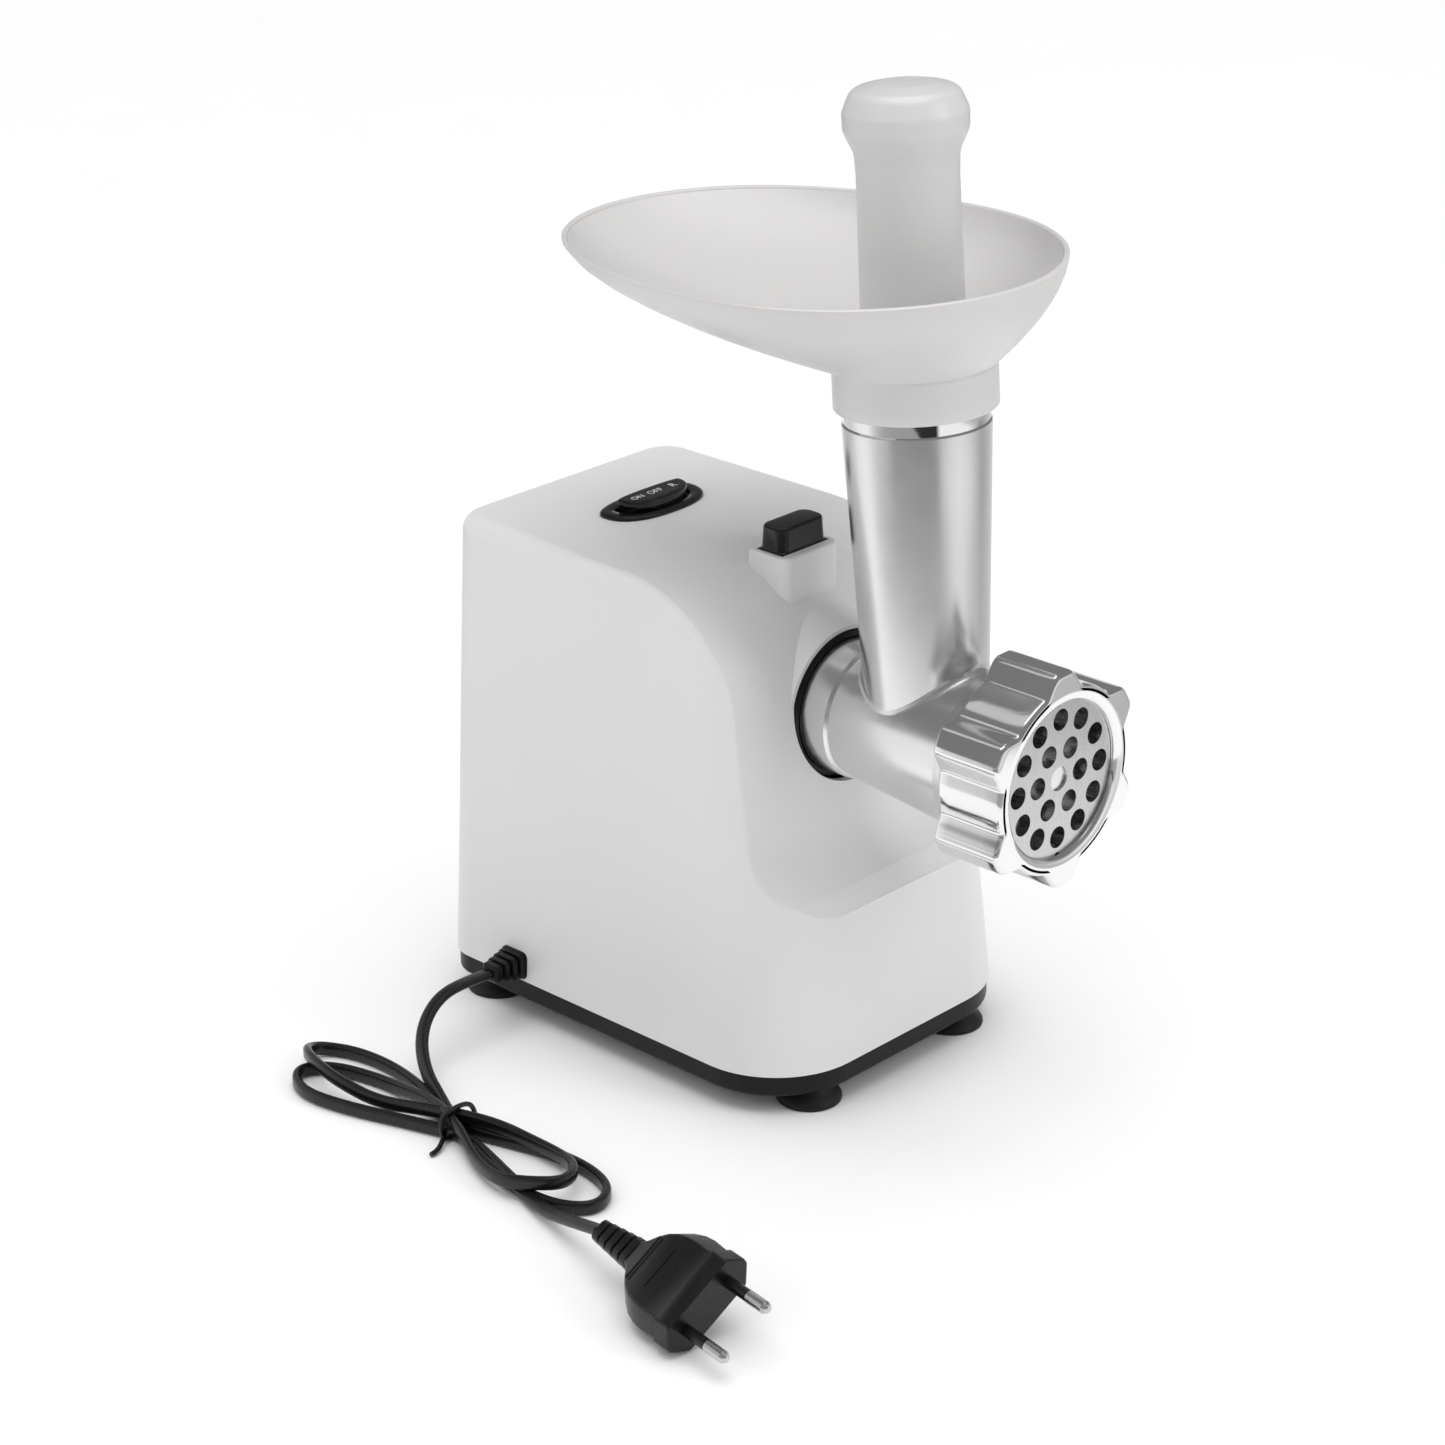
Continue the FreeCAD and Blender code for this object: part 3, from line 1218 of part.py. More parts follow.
doc.recompute()
for obj in doc.Objects:
    if "Invalid" in obj.State or "Error" in obj.State:
        raise RuntimeError("%s (%s) failed: %s" % (obj.Name, obj.Label, obj.State))
for name, obj in NODES.items():
    if obj.Shape.isNull() or not obj.Shape.isValid() or not obj.Shape.Solids:
        raise RuntimeError("%s has no valid solid" % name)
os.makedirs("parts", exist_ok=True)
for name, obj in NODES.items():
    obj.Shape.exportStep("parts/%s.step" % name)
print(len(NODES), "sub-parts written")
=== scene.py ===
import json
import math

import bmesh
import bpy
from mathutils import Matrix, Vector


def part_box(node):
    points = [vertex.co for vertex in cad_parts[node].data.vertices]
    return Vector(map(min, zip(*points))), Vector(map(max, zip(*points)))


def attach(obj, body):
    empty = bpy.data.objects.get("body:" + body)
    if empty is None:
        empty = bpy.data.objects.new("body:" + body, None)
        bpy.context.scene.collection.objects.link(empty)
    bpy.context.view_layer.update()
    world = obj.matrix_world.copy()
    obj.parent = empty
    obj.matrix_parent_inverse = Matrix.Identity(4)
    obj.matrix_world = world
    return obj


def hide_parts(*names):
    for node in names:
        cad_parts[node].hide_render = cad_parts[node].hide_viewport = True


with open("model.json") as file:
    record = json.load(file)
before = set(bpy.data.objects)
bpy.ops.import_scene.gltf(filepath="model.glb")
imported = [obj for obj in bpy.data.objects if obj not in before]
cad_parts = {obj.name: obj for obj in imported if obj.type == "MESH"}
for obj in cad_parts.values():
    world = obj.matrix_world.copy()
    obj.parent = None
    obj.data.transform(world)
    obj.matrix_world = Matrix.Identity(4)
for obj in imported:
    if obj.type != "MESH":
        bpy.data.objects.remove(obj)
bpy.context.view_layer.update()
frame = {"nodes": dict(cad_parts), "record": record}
nodes = frame["nodes"]
MM = 0.001
TAU = 2 * math.pi


# ---- camera -----------------------------------------------------------------------------------

camera_data = bpy.data.cameras.new("camera")
camera_data.sensor_width = 36.0
camera_data.lens = 92.8
camera_data.clip_start, camera_data.clip_end = 0.05, 20.0
camera = bpy.data.objects.new("camera", camera_data)
bpy.context.scene.collection.objects.link(camera)
forward = Vector((0.662, 0.6353, -0.3976)).normalized()
right = forward.cross(Vector((0.2931, 0.2687, 0.9175))).normalized()
up = right.cross(forward)
facing = Matrix((right, up, -forward)).transposed().to_4x4()
camera.matrix_world = Matrix.Translation((-0.8326, -0.7639, 0.6018)) @ facing
bpy.context.scene.camera = camera


# ---- materials --------------------------------------------------------------------------------


def material(name, colour, roughness, metallic=0.0, vary=0.04, stretch=(1, 1, 1), spot=60.0,
             rough_vary=0.06, grain=2600.0, grain_stretch=(1, 1, 1), bump=0.06, depth=0.00008,
             coat=0.0, specular=0.5, subsurface=0.0):
    """A procedural finish: broad colour drift, uneven gloss and a fine grain, all in object space."""
    made = bpy.data.materials.new(name)
    made.use_nodes = True
    tree = made.node_tree
    shader = tree.nodes["Principled BSDF"]
    add, link = tree.nodes.new, tree.links.new
    place = add("ShaderNodeTexCoord")

    def noise(scale, how, detail):
        mapping = add("ShaderNodeMapping")
        mapping.inputs["Scale"].default_value = how
        texture = add("ShaderNodeTexNoise")
        texture.inputs["Scale"].default_value = scale
        texture.inputs["Detail"].default_value = detail
        link(place.outputs["Object"], mapping.inputs["Vector"])
        link(mapping.outputs["Vector"], texture.inputs["Vector"])
        return texture.outputs["Fac"]

    drift = noise(spot, stretch, 4.0)
    ramp = add("ShaderNodeValToRGB")
    low = [c * (1 - vary) for c in colour]
    ramp.color_ramp.elements[0].position, ramp.color_ramp.elements[1].position = 0.3, 0.7
    ramp.color_ramp.elements[0].color = (*low, 1)
    ramp.color_ramp.elements[1].color = (*[min(1, c * (1 + vary)) for c in colour], 1)
    link(drift, ramp.inputs["Fac"])
    link(ramp.outputs["Color"], shader.inputs["Base Color"])
    gloss = add("ShaderNodeMapRange")
    gloss.inputs["From Min"].default_value, gloss.inputs["From Max"].default_value = 0.3, 0.7
    gloss.inputs["To Min"].default_value = max(0.02, roughness - rough_vary)
    gloss.inputs["To Max"].default_value = roughness + rough_vary
    fine = noise(grain, grain_stretch, 2.0)
    link(noise(spot * 4, stretch, 3.0), gloss.inputs["Value"])
    link(gloss.outputs["Result"], shader.inputs["Roughness"])
    relief = add("ShaderNodeBump")
    relief.inputs["Strength"].default_value = bump
    relief.inputs["Distance"].default_value = depth
    link(fine, relief.inputs["Height"])
    link(relief.outputs["Normal"], shader.inputs["Normal"])
    shader.inputs["Metallic"].default_value = metallic
    shader.inputs["Coat Weight"].default_value = coat
    shader.inputs["Coat Roughness"].default_value = 0.1
    shader.inputs["Specular IOR Level"].default_value = specular
    shader.inputs["Subsurface Weight"].default_value = subsurface
    shader.inputs["Subsurface Scale"].default_value = 0.004
    return made


MATERIALS = {
    "white_plastic": material("white_abs", (0.745, 0.745, 0.75), 0.36, vary=0.012, rough_vary=0.015, spot=14,
                              bump=0.08, depth=0.00005),
    "light_plastic": material("white_polypropylene", (0.66, 0.655, 0.65), 0.32, vary=0.012, spot=18, bump=0.04,
                              rough_vary=0.012, subsurface=0.1),
    "dark_plastic": material("black_moulding", (0.005, 0.005, 0.0055), 0.36, vary=0.15, rough_vary=0.03,
                             grain=2200, bump=0.15, specular=0.22),
    "gloss_black": material("polished_black", (0.007, 0.007, 0.008), 0.14, vary=0.12, bump=0.03, rough_vary=0.02),
    "rubber_black": material("black_rubber", (0.005, 0.005, 0.0055), 0.5, vary=0.2, rough_vary=0.03, bump=0.25,
                             specular=0.3),
    "steel": material("turned_steel", (0.56, 0.56, 0.57), 0.24, 1.0, stretch=(1, 30, 1), grain_stretch=(1, 20, 1)),
    "blade_steel": material("ground_steel", (0.6, 0.6, 0.6), 0.27, 1.0, stretch=(40, 1, 1), grain_stretch=(20, 1, 1)),
    "cast_aluminium": material("cast_aluminium", (0.84, 0.84, 0.845), 0.24, 1.0, vary=0.02, spot=40,
                               rough_vary=0.015, grain=1500, bump=0.03, depth=0.00004),
    "polished_aluminium": material("polished_aluminium", (0.86, 0.86, 0.865), 0.1, 1.0, vary=0.02, spot=40,
                                   rough_vary=0.015, grain=1500, bump=0.03, depth=0.00004),
    "bronze": material("sintered_bronze", (0.42, 0.26, 0.1), 0.38, 1.0, vary=0.15, grain=4000, bump=0.3),
    "copper": material("enamelled_copper", (0.45, 0.17, 0.07), 0.25, 0.8, vary=0.2, stretch=(1, 1, 30), grain=900,
                       grain_stretch=(1, 1, 6), bump=0.6, depth=0.0003, coat=0.5),
    "electrical_steel": material("laminated_steel", (0.2, 0.21, 0.23), 0.45, 0.7, vary=0.2, stretch=(1, 20, 1),
                                 grain=1400, grain_stretch=(0.02, 1, 0.02), bump=0.7, depth=0.0002),
    "nylon": material("natural_nylon", (0.66, 0.63, 0.52), 0.4, vary=0.05, subsurface=0.15),
    "coupler_plastic": material("filled_nylon", (0.03, 0.03, 0.03), 0.5, vary=0.3, bump=0.3),
    "graphite": material("pressed_carbon", (0.02, 0.02, 0.02), 0.6, vary=0.3, bump=0.4),
    "capacitor": material("moulded_resin", (0.55, 0.38, 0.04), 0.3, vary=0.05),
    "cord_plastic": material("soft_black_pvc", (0.005, 0.005, 0.0055), 0.28, vary=0.15, rough_vary=0.03,
                             grain=1400, bump=0.1, specular=0.4),
}


def mirror_band(made, axis, low, high):
    """Polishes the stretch of a finish between two distances along an axis, in metres."""
    tree = made.node_tree
    shader = tree.nodes["Principled BSDF"]
    add, link = tree.nodes.new, tree.links.new
    along = add("ShaderNodeVectorMath")
    along.operation = "DOT_PRODUCT"
    along.inputs[1].default_value = axis
    link(add("ShaderNodeTexCoord").outputs["Object"], along.inputs[0])
    inside = add("ShaderNodeMath")
    inside.operation = "COMPARE"
    inside.inputs[1].default_value, inside.inputs[2].default_value = (low + high) / 2, (high - low) / 2
    link(along.outputs["Value"], inside.inputs[0])
    finish = add("ShaderNodeMix")
    link(inside.outputs["Value"], finish.inputs["Factor"])
    link(shader.inputs["Roughness"].links[0].from_socket, finish.inputs["A"])
    finish.inputs["B"].default_value = 0.03
    link(finish.outputs["Result"], shader.inputs["Roughness"])


TUBE_UP, COLLAR_LOW, COLLAR_HIGH = (0, 0.0628, 0.998), 0.2255, 0.2302  # polished band under the tray's collar
mirror_band(MATERIALS["cast_aluminium"], TUBE_UP, COLLAR_LOW, COLLAR_HIGH)

for row in frame["record"]["subparts"]:
    mesh = nodes[row["node"]].data
    mesh.materials.clear()
    mesh.materials.append(MATERIALS[row["material_slot"]])


# ---- helpers for meshes -----------------------------------------------------------------------


def add_mesh(name, verts, faces, slot, body, stands_for=(), sharp=38.0, bevel=0.0):
    """A piece from points in millimetres; edges sharper than the given angle stay crisp."""
    mesh = bpy.data.meshes.new(name)
    mesh.from_pydata([Vector(v) * MM for v in verts], [], faces)
    made = bmesh.new()
    made.from_mesh(mesh)
    bmesh.ops.remove_doubles(made, verts=made.verts, dist=1e-6)
    bmesh.ops.recalc_face_normals(made, faces=made.faces)
    for face in made.faces:
        face.smooth = True
    for edge in made.edges:
        edge.smooth = len(edge.link_faces) == 2 and edge.calc_face_angle(0) < math.radians(sharp)
    made.to_mesh(mesh)
    made.free()
    piece = bpy.data.objects.new(name, mesh)
    bpy.context.scene.collection.objects.link(piece)
    mesh.materials.append(MATERIALS[slot])
    if bevel:
        rounding = piece.modifiers.new("bevel", "BEVEL")
        rounding.width, rounding.segments, rounding.limit_method = bevel * MM, 3, "ANGLE"
        rounding.angle_limit = math.radians(sharp)
        rounding.harden_normals = True
    if stands_for:
        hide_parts(*stands_for)
    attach(piece, body)
    return piece


def loft(rings, closed=True, capped=True):
    """Quads between rings of equal length; closed joins the last ring to the first."""
    count = len(rings[0])
    verts = [point for ring in rings for point in ring]
    faces = []
    last = len(rings) if closed else len(rings) - 1
    for i in range(last):
        j = (i + 1) % len(rings)
        for k in range(count):
            n = (k + 1) % count
            faces.append((i * count + k, i * count + n, j * count + n, j * count + k))
    if capped and not closed:
        faces.append(tuple(range(count))[::-1])
        faces.append(tuple(range((len(rings) - 1) * count, len(rings) * count)))
    return verts, faces


def rounded_profile(points, steps=5):
    """A closed or open profile of (r, z[, radius]) with its corners rounded by the third value."""
    out = []
    count = len(points)
    for index, point in enumerate(points):
        radius = point[2] if len(point) > 2 else 0
        corner = Vector(point[:2])
        if not radius:
            out.append(tuple(corner))
            continue
        before, after = Vector(points[index - 1][:2]), Vector(points[(index + 1) % count][:2])
        into, away = (before - corner).normalized(), (after - corner).normalized()
        half = into.angle(away) / 2
        centre = corner + (into + away).normalized() * (radius / math.sin(half))
        start = corner + into * (radius / math.tan(half)) - centre
        turn = (math.pi - 2 * half) * (1 if into.cross(away) < 0 else -1)
        first = math.atan2(start.y, start.x)
        for step in range(steps + 1):
            angle = first + turn * step / steps
            out.append((centre.x + radius * math.cos(angle), centre.y + radius * math.sin(angle)))
    return out


def lathe(profile, place=Matrix.Identity(4), count=96, closed=True):
    """Turns (r, z) points about local Z; points on the axis become small rings joined up later."""
    rings = []
    for r, z in profile:
        rings.append([place @ Vector((r * math.cos(TAU * k / count), r * math.sin(TAU * k / count), z))
                      for k in range(count)])
    return loft(rings, closed=closed, capped=not closed)


AXIS_Z = 125.0
LEAN = math.radians(3.6)
TUBE_FROM_AXIS = 56.0
TUBE = Matrix.Translation((0, -TUBE_FROM_AXIS, AXIS_Z)) @ Matrix.Rotation(-LEAN, 4, "X")
BARREL = Matrix.Translation((0, 0, AXIS_Z)) @ Matrix.Rotation(math.radians(-90), 4, "X")  # local Z runs along +Y


# ---- mains cord -------------------------------------------------------------------------------

LEAD = [
    (-74.1, 75.3, 20.4), (-82.5, 75.6, 21.2), (-94.6, 76.4, 20.2), (-104.4, 73.9, 16.0), (-112.5, 67.8, 11.2),
    (-119.1, 57.9, 6.4), (-123.7, 46.1, 3.8), (-127.8, 37.0, 3.0),
]
HANK = [
    (-130.3, 28.1, 2.4), (-128.8, 19.2, 2.5), (-125.8, 9.3, 2.5), (-121.9, -6.5, 2.5), (-121.4, -21.3, 2.5),
    (-124.9, -33.1, 2.5), (-131.8, -38.6, 2.5), (-138.7, -38.1, 2.5), (-144.6, -29.2, 2.5),
    (-145.6, -15.4, 2.5), (-142.6, 0.4, 2.5), (-137.7, 16.2, 2.5), (-133.3, 28.1, 2.5), (-129.3, 39.9, 2.5),
    (-122.4, 54.8, 2.5), (-118.9, 73.5, 2.5), (-119.9, 90.3, 2.5), (-124.9, 101.7, 2.5), (-130.8, 103.1, 4),
    (-136.8, 98.1, 7), (-141.2, 87.2, 8), (-142.7, 74.4, 7), (-139.7, 58.7, 4), (-134.8, 41.9, 6),
    (-130.9, 28.0, 7.2), (-126.9, 14.2, 7), (-124.4, 2.4, 5), (-124.4, -10.5, 5), (-126.9, -19.4, 6),
    (-132.3, -25.3, 7), (-139.2, -26.8, 7.5), (-145.7, -19.9, 7.5), (-148.6, -7.5, 5), (-143.6, 8.3, 4),
    (-137.7, 20.1, 6), (-134.3, 30.0, 7.2), (-129.4, 44.8, 6), (-127.3, 61.7, 3), (-128.3, 75.5, 2.5),
    (-132.3, 89.3, 2.5), (-140.2, 96.7, 2.5), (-147.1, 92.3, 2.5), (-150.5, 81.4, 2.5), (-147.1, 64.6, 2.5),
    (-141.6, 48.8, 2.5), (-137.2, 35.0, 2.5), (-134.2, 26.1, 2.6),
]
TAIL = [
    (-135.7, 16.2, 2.6), (-139.2, 4.4, 2.6), (-144.6, -13.4, 2.6), (-149.6, -30.2, 3.4), (-153.6, -46.1, 8),
    (-157.6, -62.9, 13.4),
]
CORD_WIDTH, CORD_THICKNESS = 4.8, 3.0


def flat_section():
    """Cross-section of a two-core flat cord: two round cores joined by a shallow web."""
    points = []
    radius, offset = CORD_THICKNESS / 2, (CORD_WIDTH - CORD_THICKNESS) / 2
    for side in (1, -1):
        for step in range(9):
            angle = math.radians(-80 + 20 * step)
            points.append((side * (offset + radius * math.cos(angle)), side * radius * math.sin(angle)))
    curve = bpy.data.curves.new("cord_section", "CURVE")
    curve.dimensions = "2D"
    spline = curve.splines.new("POLY")
    spline.points.add(len(points) - 1)
    for target, (x, y) in zip(spline.points, points):
        target.co = (x * MM, y * MM, 0, 1)
    spline.use_cyclic_u = True
    section = bpy.data.objects.new("cord_section", curve)
    return section


def mains_cord():
    """The flat cord, lying down where it leaves the grinder and on its edge in the hank."""
    route = LEAD + HANK + TAIL
    curve = bpy.data.curves.new("mains_cord", "CURVE")
    curve.dimensions = "3D"
    curve.twist_mode = "Z_UP"
    spline = curve.splines.new("NURBS")
    spline.points.add(len(route) - 1)
    for target, point in zip(spline.points, route):
        target.co = (*(Vector(point) * MM), 1)
    spline.order_u = 3
    spline.use_endpoint_u = True
    spline.resolution_u = 10
    edge_on = math.radians(90)
    for index, target in enumerate(spline.points):
        last = len(route) - index - 1
        target.tilt = edge_on * min(1.0, max(0.0, (index - 2) / 5), max(0.0, (last - 1) / 5))
    curve.bevel_mode = "OBJECT"
    curve.bevel_object = flat_section()
    curve.use_fill_caps = True
    curve.materials.append(MATERIALS["cord_plastic"])
    piece = bpy.data.objects.new("mains_cord", curve)
    bpy.context.scene.collection.objects.link(piece)
    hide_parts("cord_lead", "cord_hank", "cord_tail")
    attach(piece, "housing")
    return piece


cord = mains_cord()


def tube_along(name, points, radius, slot, body, stands_for):
    """A thin round wire along a smooth line."""
    curve = bpy.data.curves.new(name, "CURVE")
    curve.dimensions = "3D"
    spline = curve.splines.new("NURBS")
    spline.points.add(len(points) - 1)
    for target, point in zip(spline.points, points):
        target.co = (*(Vector(point) * MM), 1)
    spline.order_u = 3
    spline.use_endpoint_u = True
    curve.bevel_depth = radius * MM
    curve.bevel_resolution = 3
    curve.use_fill_caps = True
    curve.materials.append(MATERIALS[slot])
    piece = bpy.data.objects.new(name, curve)
    bpy.context.scene.collection.objects.link(piece)
    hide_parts(*stands_for)
    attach(piece, body)
    return piece


tie = tube_along("twist_tie", [
    (-137.3, 30.1, 1.2), (-138.7, 29.6, 4), (-138.3, 29.4, 8), (-135.3, 29.1, 10), (-130.9, 28.9, 10.6),
    (-126.4, 28.8, 9.6), (-124.5, 28.6, 6), (-124.7, 28.7, 2.4), (-126.8, 28.5, 1.0), (-132.7, 28.3, 0.9),
    (-137.3, 28.1, 1.1), (-139.7, 27.5, 2.4), (-141.6, 26.3, 2.0), (-144.6, 24.8, 1.2), (-147.6, 24.6, 1.1),
], 0.85, "cord_plastic", "housing", ["cord_tie"])


# ---- plug -------------------------------------------------------------------------------------

PLUG = Matrix.Translation((-157.6, -62.9, 13.4)) @ Matrix.Rotation(math.radians(180 - 9), 4, "Z") \
    @ Matrix.Rotation(math.radians(35), 4, "Y")


def flat_hexagon(y, width, thickness, corner=1.2, point=0.37):
    """A flattened hexagon with softened corners, across the plug's axis."""
    half, flat, deep = width / 2, width * point, thickness / 2
    outline = [(half, -0.9, corner), (half, 0.9, corner), (flat, deep, corner * 1.6), (-flat, deep, corner * 1.6),
               (-half, 0.9, corner), (-half, -0.9, corner), (-flat, -deep, corner * 1.6), (flat, -deep, corner * 1.6)]
    return [PLUG @ Vector((x, y, z)) for x, z in rounded_profile(outline, 3)]


def plug_shell():
    """The plug's body; each section is (y, width, thickness, corner)."""
    sections = [
        (19.5, 10.5, 8.0, 0.6), (22.5, 13.5, 9.6, 0.7), (25.5, 20.5, 11.6, 0.8), (28.5, 26.6, 12.8, 1.0),
        (32, 31.0, 13.3, 1.0), (36, 33.4, 13.5, 1.0), (40, 34.2, 13.5, 1.0), (46.6, 33.2, 13.3, 1.0),
        (47.2, 35.0, 13.7, 1.0), (53.2, 35.0, 13.7, 1.0), (53.8, 34.4, 13.2, 1.0), (54.0, 33.6, 12.6, 1.0),
    ]
    verts, faces = loft([flat_hexagon(*section) for section in sections], closed=False)
    return add_mesh("plug_shell", verts, faces, "cord_plastic", "housing", ["plug_body"], sharp=24)


def plug_sleeve():
    """The ribbed strain relief behind the plug: discs on a thin core."""
    steps = []
    for index in range(5):
        low = 1.0 + 4.0 * index
        size = 7.4 + 0.75 * index
        steps += [(low, size - 0.5), (low + 0.3, size), (low + 2.7, size), (low + 3.0, size - 0.5),
                  (low + 3.1, 5.4), (low + 3.9, 5.4)]
    rings = []
    for y, width in steps:
        thick = width * 0.86 if width > 5.5 else 4.6
        outline = [(width / 2, -thick / 2, thick * 0.3), (width / 2, thick / 2, thick * 0.3),
                   (-width / 2, thick / 2, thick * 0.3), (-width / 2, -thick / 2, thick * 0.3)]
        rings.append([PLUG @ Vector((x, y, z)) for x, z in rounded_profile(outline, 4)])
    verts, faces = loft(rings, closed=False)
    return add_mesh("plug_sleeve", verts, faces, "cord_plastic", "housing", sharp=30)


plug_parts = [plug_shell(), plug_sleeve(), nodes["plug_pins"], nodes["pin_sleeves"]]


def box_mesh(low, high, place=Matrix.Identity(4)):
    corners = [place @ Vector((x, y, z))
               for z in (low[2], high[2]) for y in (low[1], high[1]) for x in (low[0], high[0])]
    faces = [(0, 1, 3, 2), (4, 6, 7, 5), (0, 4, 5, 1), (2, 3, 7, 6), (0, 2, 6, 4), (1, 5, 7, 3)]
    return corners, faces


def merged(parts):
    """Several (verts, faces) as one."""
    verts, faces = [], []
    for some_verts, some_faces in parts:
        start = len(verts)
        verts += list(some_verts)
        faces += [tuple(i + start for i in face) for face in some_faces]
    return verts, faces


# Moulded panel lines on the plug's broad side.
panel = [box_mesh((-8, 27.2, 6.55), (8, 27.8, 6.95), PLUG), box_mesh((-7, 35.2, 6.7), (7, 35.7, 6.95), PLUG)]
marks = add_mesh("plug_panel_lines", *merged(panel), "dark_plastic", "housing", bevel=0.1)
plug_parts.append(marks)


# ---- gland where the cord leaves the housing ---------------------------------------------------

GLAND_Y, GLAND_Z = 75.3, 20.4


def gland():
    """The tapering ribbed strain relief in the housing's side."""
    rings = []
    steps = [(-56.5, 12.0, 10.0), (-62.2, 12.0, 10.0)]
    for index in range(4):
        near = -62.3 - 3.0 * index
        wide, tall = 11.2 - 1.2 * index, 9.4 - 0.95 * index
        steps += [(near, wide, tall), (near - 1.9, wide - 0.2, tall - 0.2), (near - 2.0, 6.4, 5.4),
                  (near - 2.9, 6.2, 5.2)]
    steps[-2:] = [(-73.6, 6.6, 5.2), (-74.1, 5.6, 4.2)]
    for x, wide, tall in steps:
        outline = [(wide / 2, -tall / 2, tall * 0.22), (wide / 2, tall / 2, tall * 0.22),
                   (-wide / 2, tall / 2, tall * 0.22), (-wide / 2, -tall / 2, tall * 0.22)]
        rings.append([(x, GLAND_Y + a, GLAND_Z + b) for a, b in rounded_profile(outline, 4)])
    verts, faces = loft(rings, closed=False)
    return add_mesh("cord_gland", verts, faces, "dark_plastic", "housing", ["strain_relief"], sharp=30)


gland()


# ---- hopper tray and pusher --------------------------------------------------------------------

EGG_RADIUS, EGG_TAPER, EGG_STRETCH, EGG_CENTRE = 75.9, 12.3, 10.7, 55.2
TRAY_LOW, TRAY_RIM, TRAY_TILT = 122.2, 153.4, math.radians(1.6)


def tray_ring(share, throat, inset, lift, count=112):
    """One egg-shaped ring of the tray, from the throat (share 0) to the rim (share 1)."""
    spread = 1 - (1 - share) ** 1.75 if share < 1 else 1.0
    height = TRAY_LOW + (TRAY_RIM - TRAY_LOW) * share + lift
    ring = []
    for k in range(count):
        theta = TAU * k / count
        radius = EGG_RADIUS - EGG_TAPER * math.cos(theta) + EGG_STRETCH * math.cos(2 * theta)
        x, y = radius * math.sin(theta), EGG_CENTRE + radius * math.cos(theta)
        reach = math.hypot(x, y)
        out = throat + (reach - inset - throat) * spread
        ring.append(TUBE @ Vector((out * x / reach, out * y / reach,
                                   height + out * y / reach * math.tan(TRAY_TILT) * spread)))
    return ring


def circle_ring(radius, height, count=112):
    """Round ring whose points lie in the same directions as the egg's, so that a loft doesn't twist."""
    ring = []
    for k in range(count):
        theta = TAU * k / count
        egg = EGG_RADIUS - EGG_TAPER * math.cos(theta) + EGG_STRETCH * math.cos(2 * theta)
        x, y = egg * math.sin(theta), EGG_CENTRE + egg * math.cos(theta)
        reach = math.hypot(x, y)
        ring.append(TUBE @ Vector((radius * x / reach, radius * y / reach, height)))
    return ring


def hopper_tray():
    shares = [0.015, 0.04, 0.08, 0.13, 0.2, 0.28, 0.37, 0.47, 0.58, 0.7, 0.82, 0.93]
    rings = [circle_ring(24.45, 109.0), circle_ring(25.6, 109.0), circle_ring(25.9, 109.4), circle_ring(25.9, 113),
             circle_ring(25.9, 119), circle_ring(25.9, 121.4), circle_ring(26.0, 122.3)]
    rings += [tray_ring(share, 25.3, 0, 0) for share in shares]
    rings += [tray_ring(1.0, 25.2, 0, -1.1), tray_ring(1.0, 25.2, -0.1, -0.4), tray_ring(1.0, 25.2, 0.3, 0.0),
              tray_ring(1.0, 25.2, 1.2, 0.0), tray_ring(1.0, 23.0, 1.8, -0.4), tray_ring(1.0, 23.0, 1.9, -1.1)]
    rings += [tray_ring(share, 23.2, 1.9, 1.5) for share in reversed(shares)]
    rings += [circle_ring(22.3, 123.6), circle_ring(22.0, 122.6), circle_ring(22.0, 121.2), circle_ring(24.45, 121.1)]
    verts, faces = loft(rings)
    return add_mesh("tray_bowl", verts, faces, "light_plastic", "tray", ["hopper_tray"], sharp=50)


hopper_tray()
pusher_profile = rounded_profile([
    (0.01, 206.0), (11, 205.6, 3), (15.2, 201.5, 3), (15.2, 196, 4), (13.2, 187, 6), (13.6, 23.0), (14.8, 23.0),
    (15.8, 23.8, 0.6), (16.6, 112), (15.8, 181, 20), (16.1, 188.2, 10), (19.3, 195.2, 5), (19.4, 200.8, 4.0),
    (16.6, 207.4, 4.6), (8.5, 209.2, 4), (0.01, 209.4),
])
add_mesh("pusher", *lathe(pusher_profile, TUBE, closed=False), "light_plastic", "pusher", ["food_pusher"], sharp=50)


# ---- ring nut ----------------------------------------------------------------------------------

NUT_BACK, NUT_FRONT, NUT_OPENING, NUT_LIP = -86.5, -112.0, 25.8, 27.2
LOBE, VALLEY = 36.8, 31.3


def nut_radius(angle):
    """Outline of the nut: six narrow ridges that rise in an S-curve from wide, shallow hollows."""
    from_valley = abs((math.degrees(angle) - 62 + 30) % 60 - 30)
    share = min(1.0, max(0.0, (from_valley - 12.5) / 13.5))
    return VALLEY + (LOBE - VALLEY) * share * share * (3 - 2 * share)


def nut_ring(y, inward=0.0, inner=None, count=288):
    ring = []
    for k in range(count):
        angle = TAU * k / count
        radius = inner if inner is not None else nut_radius(angle) - inward
        ring.append((radius * math.cos(angle), y, AXIS_Z + radius * math.sin(angle)))
    return ring


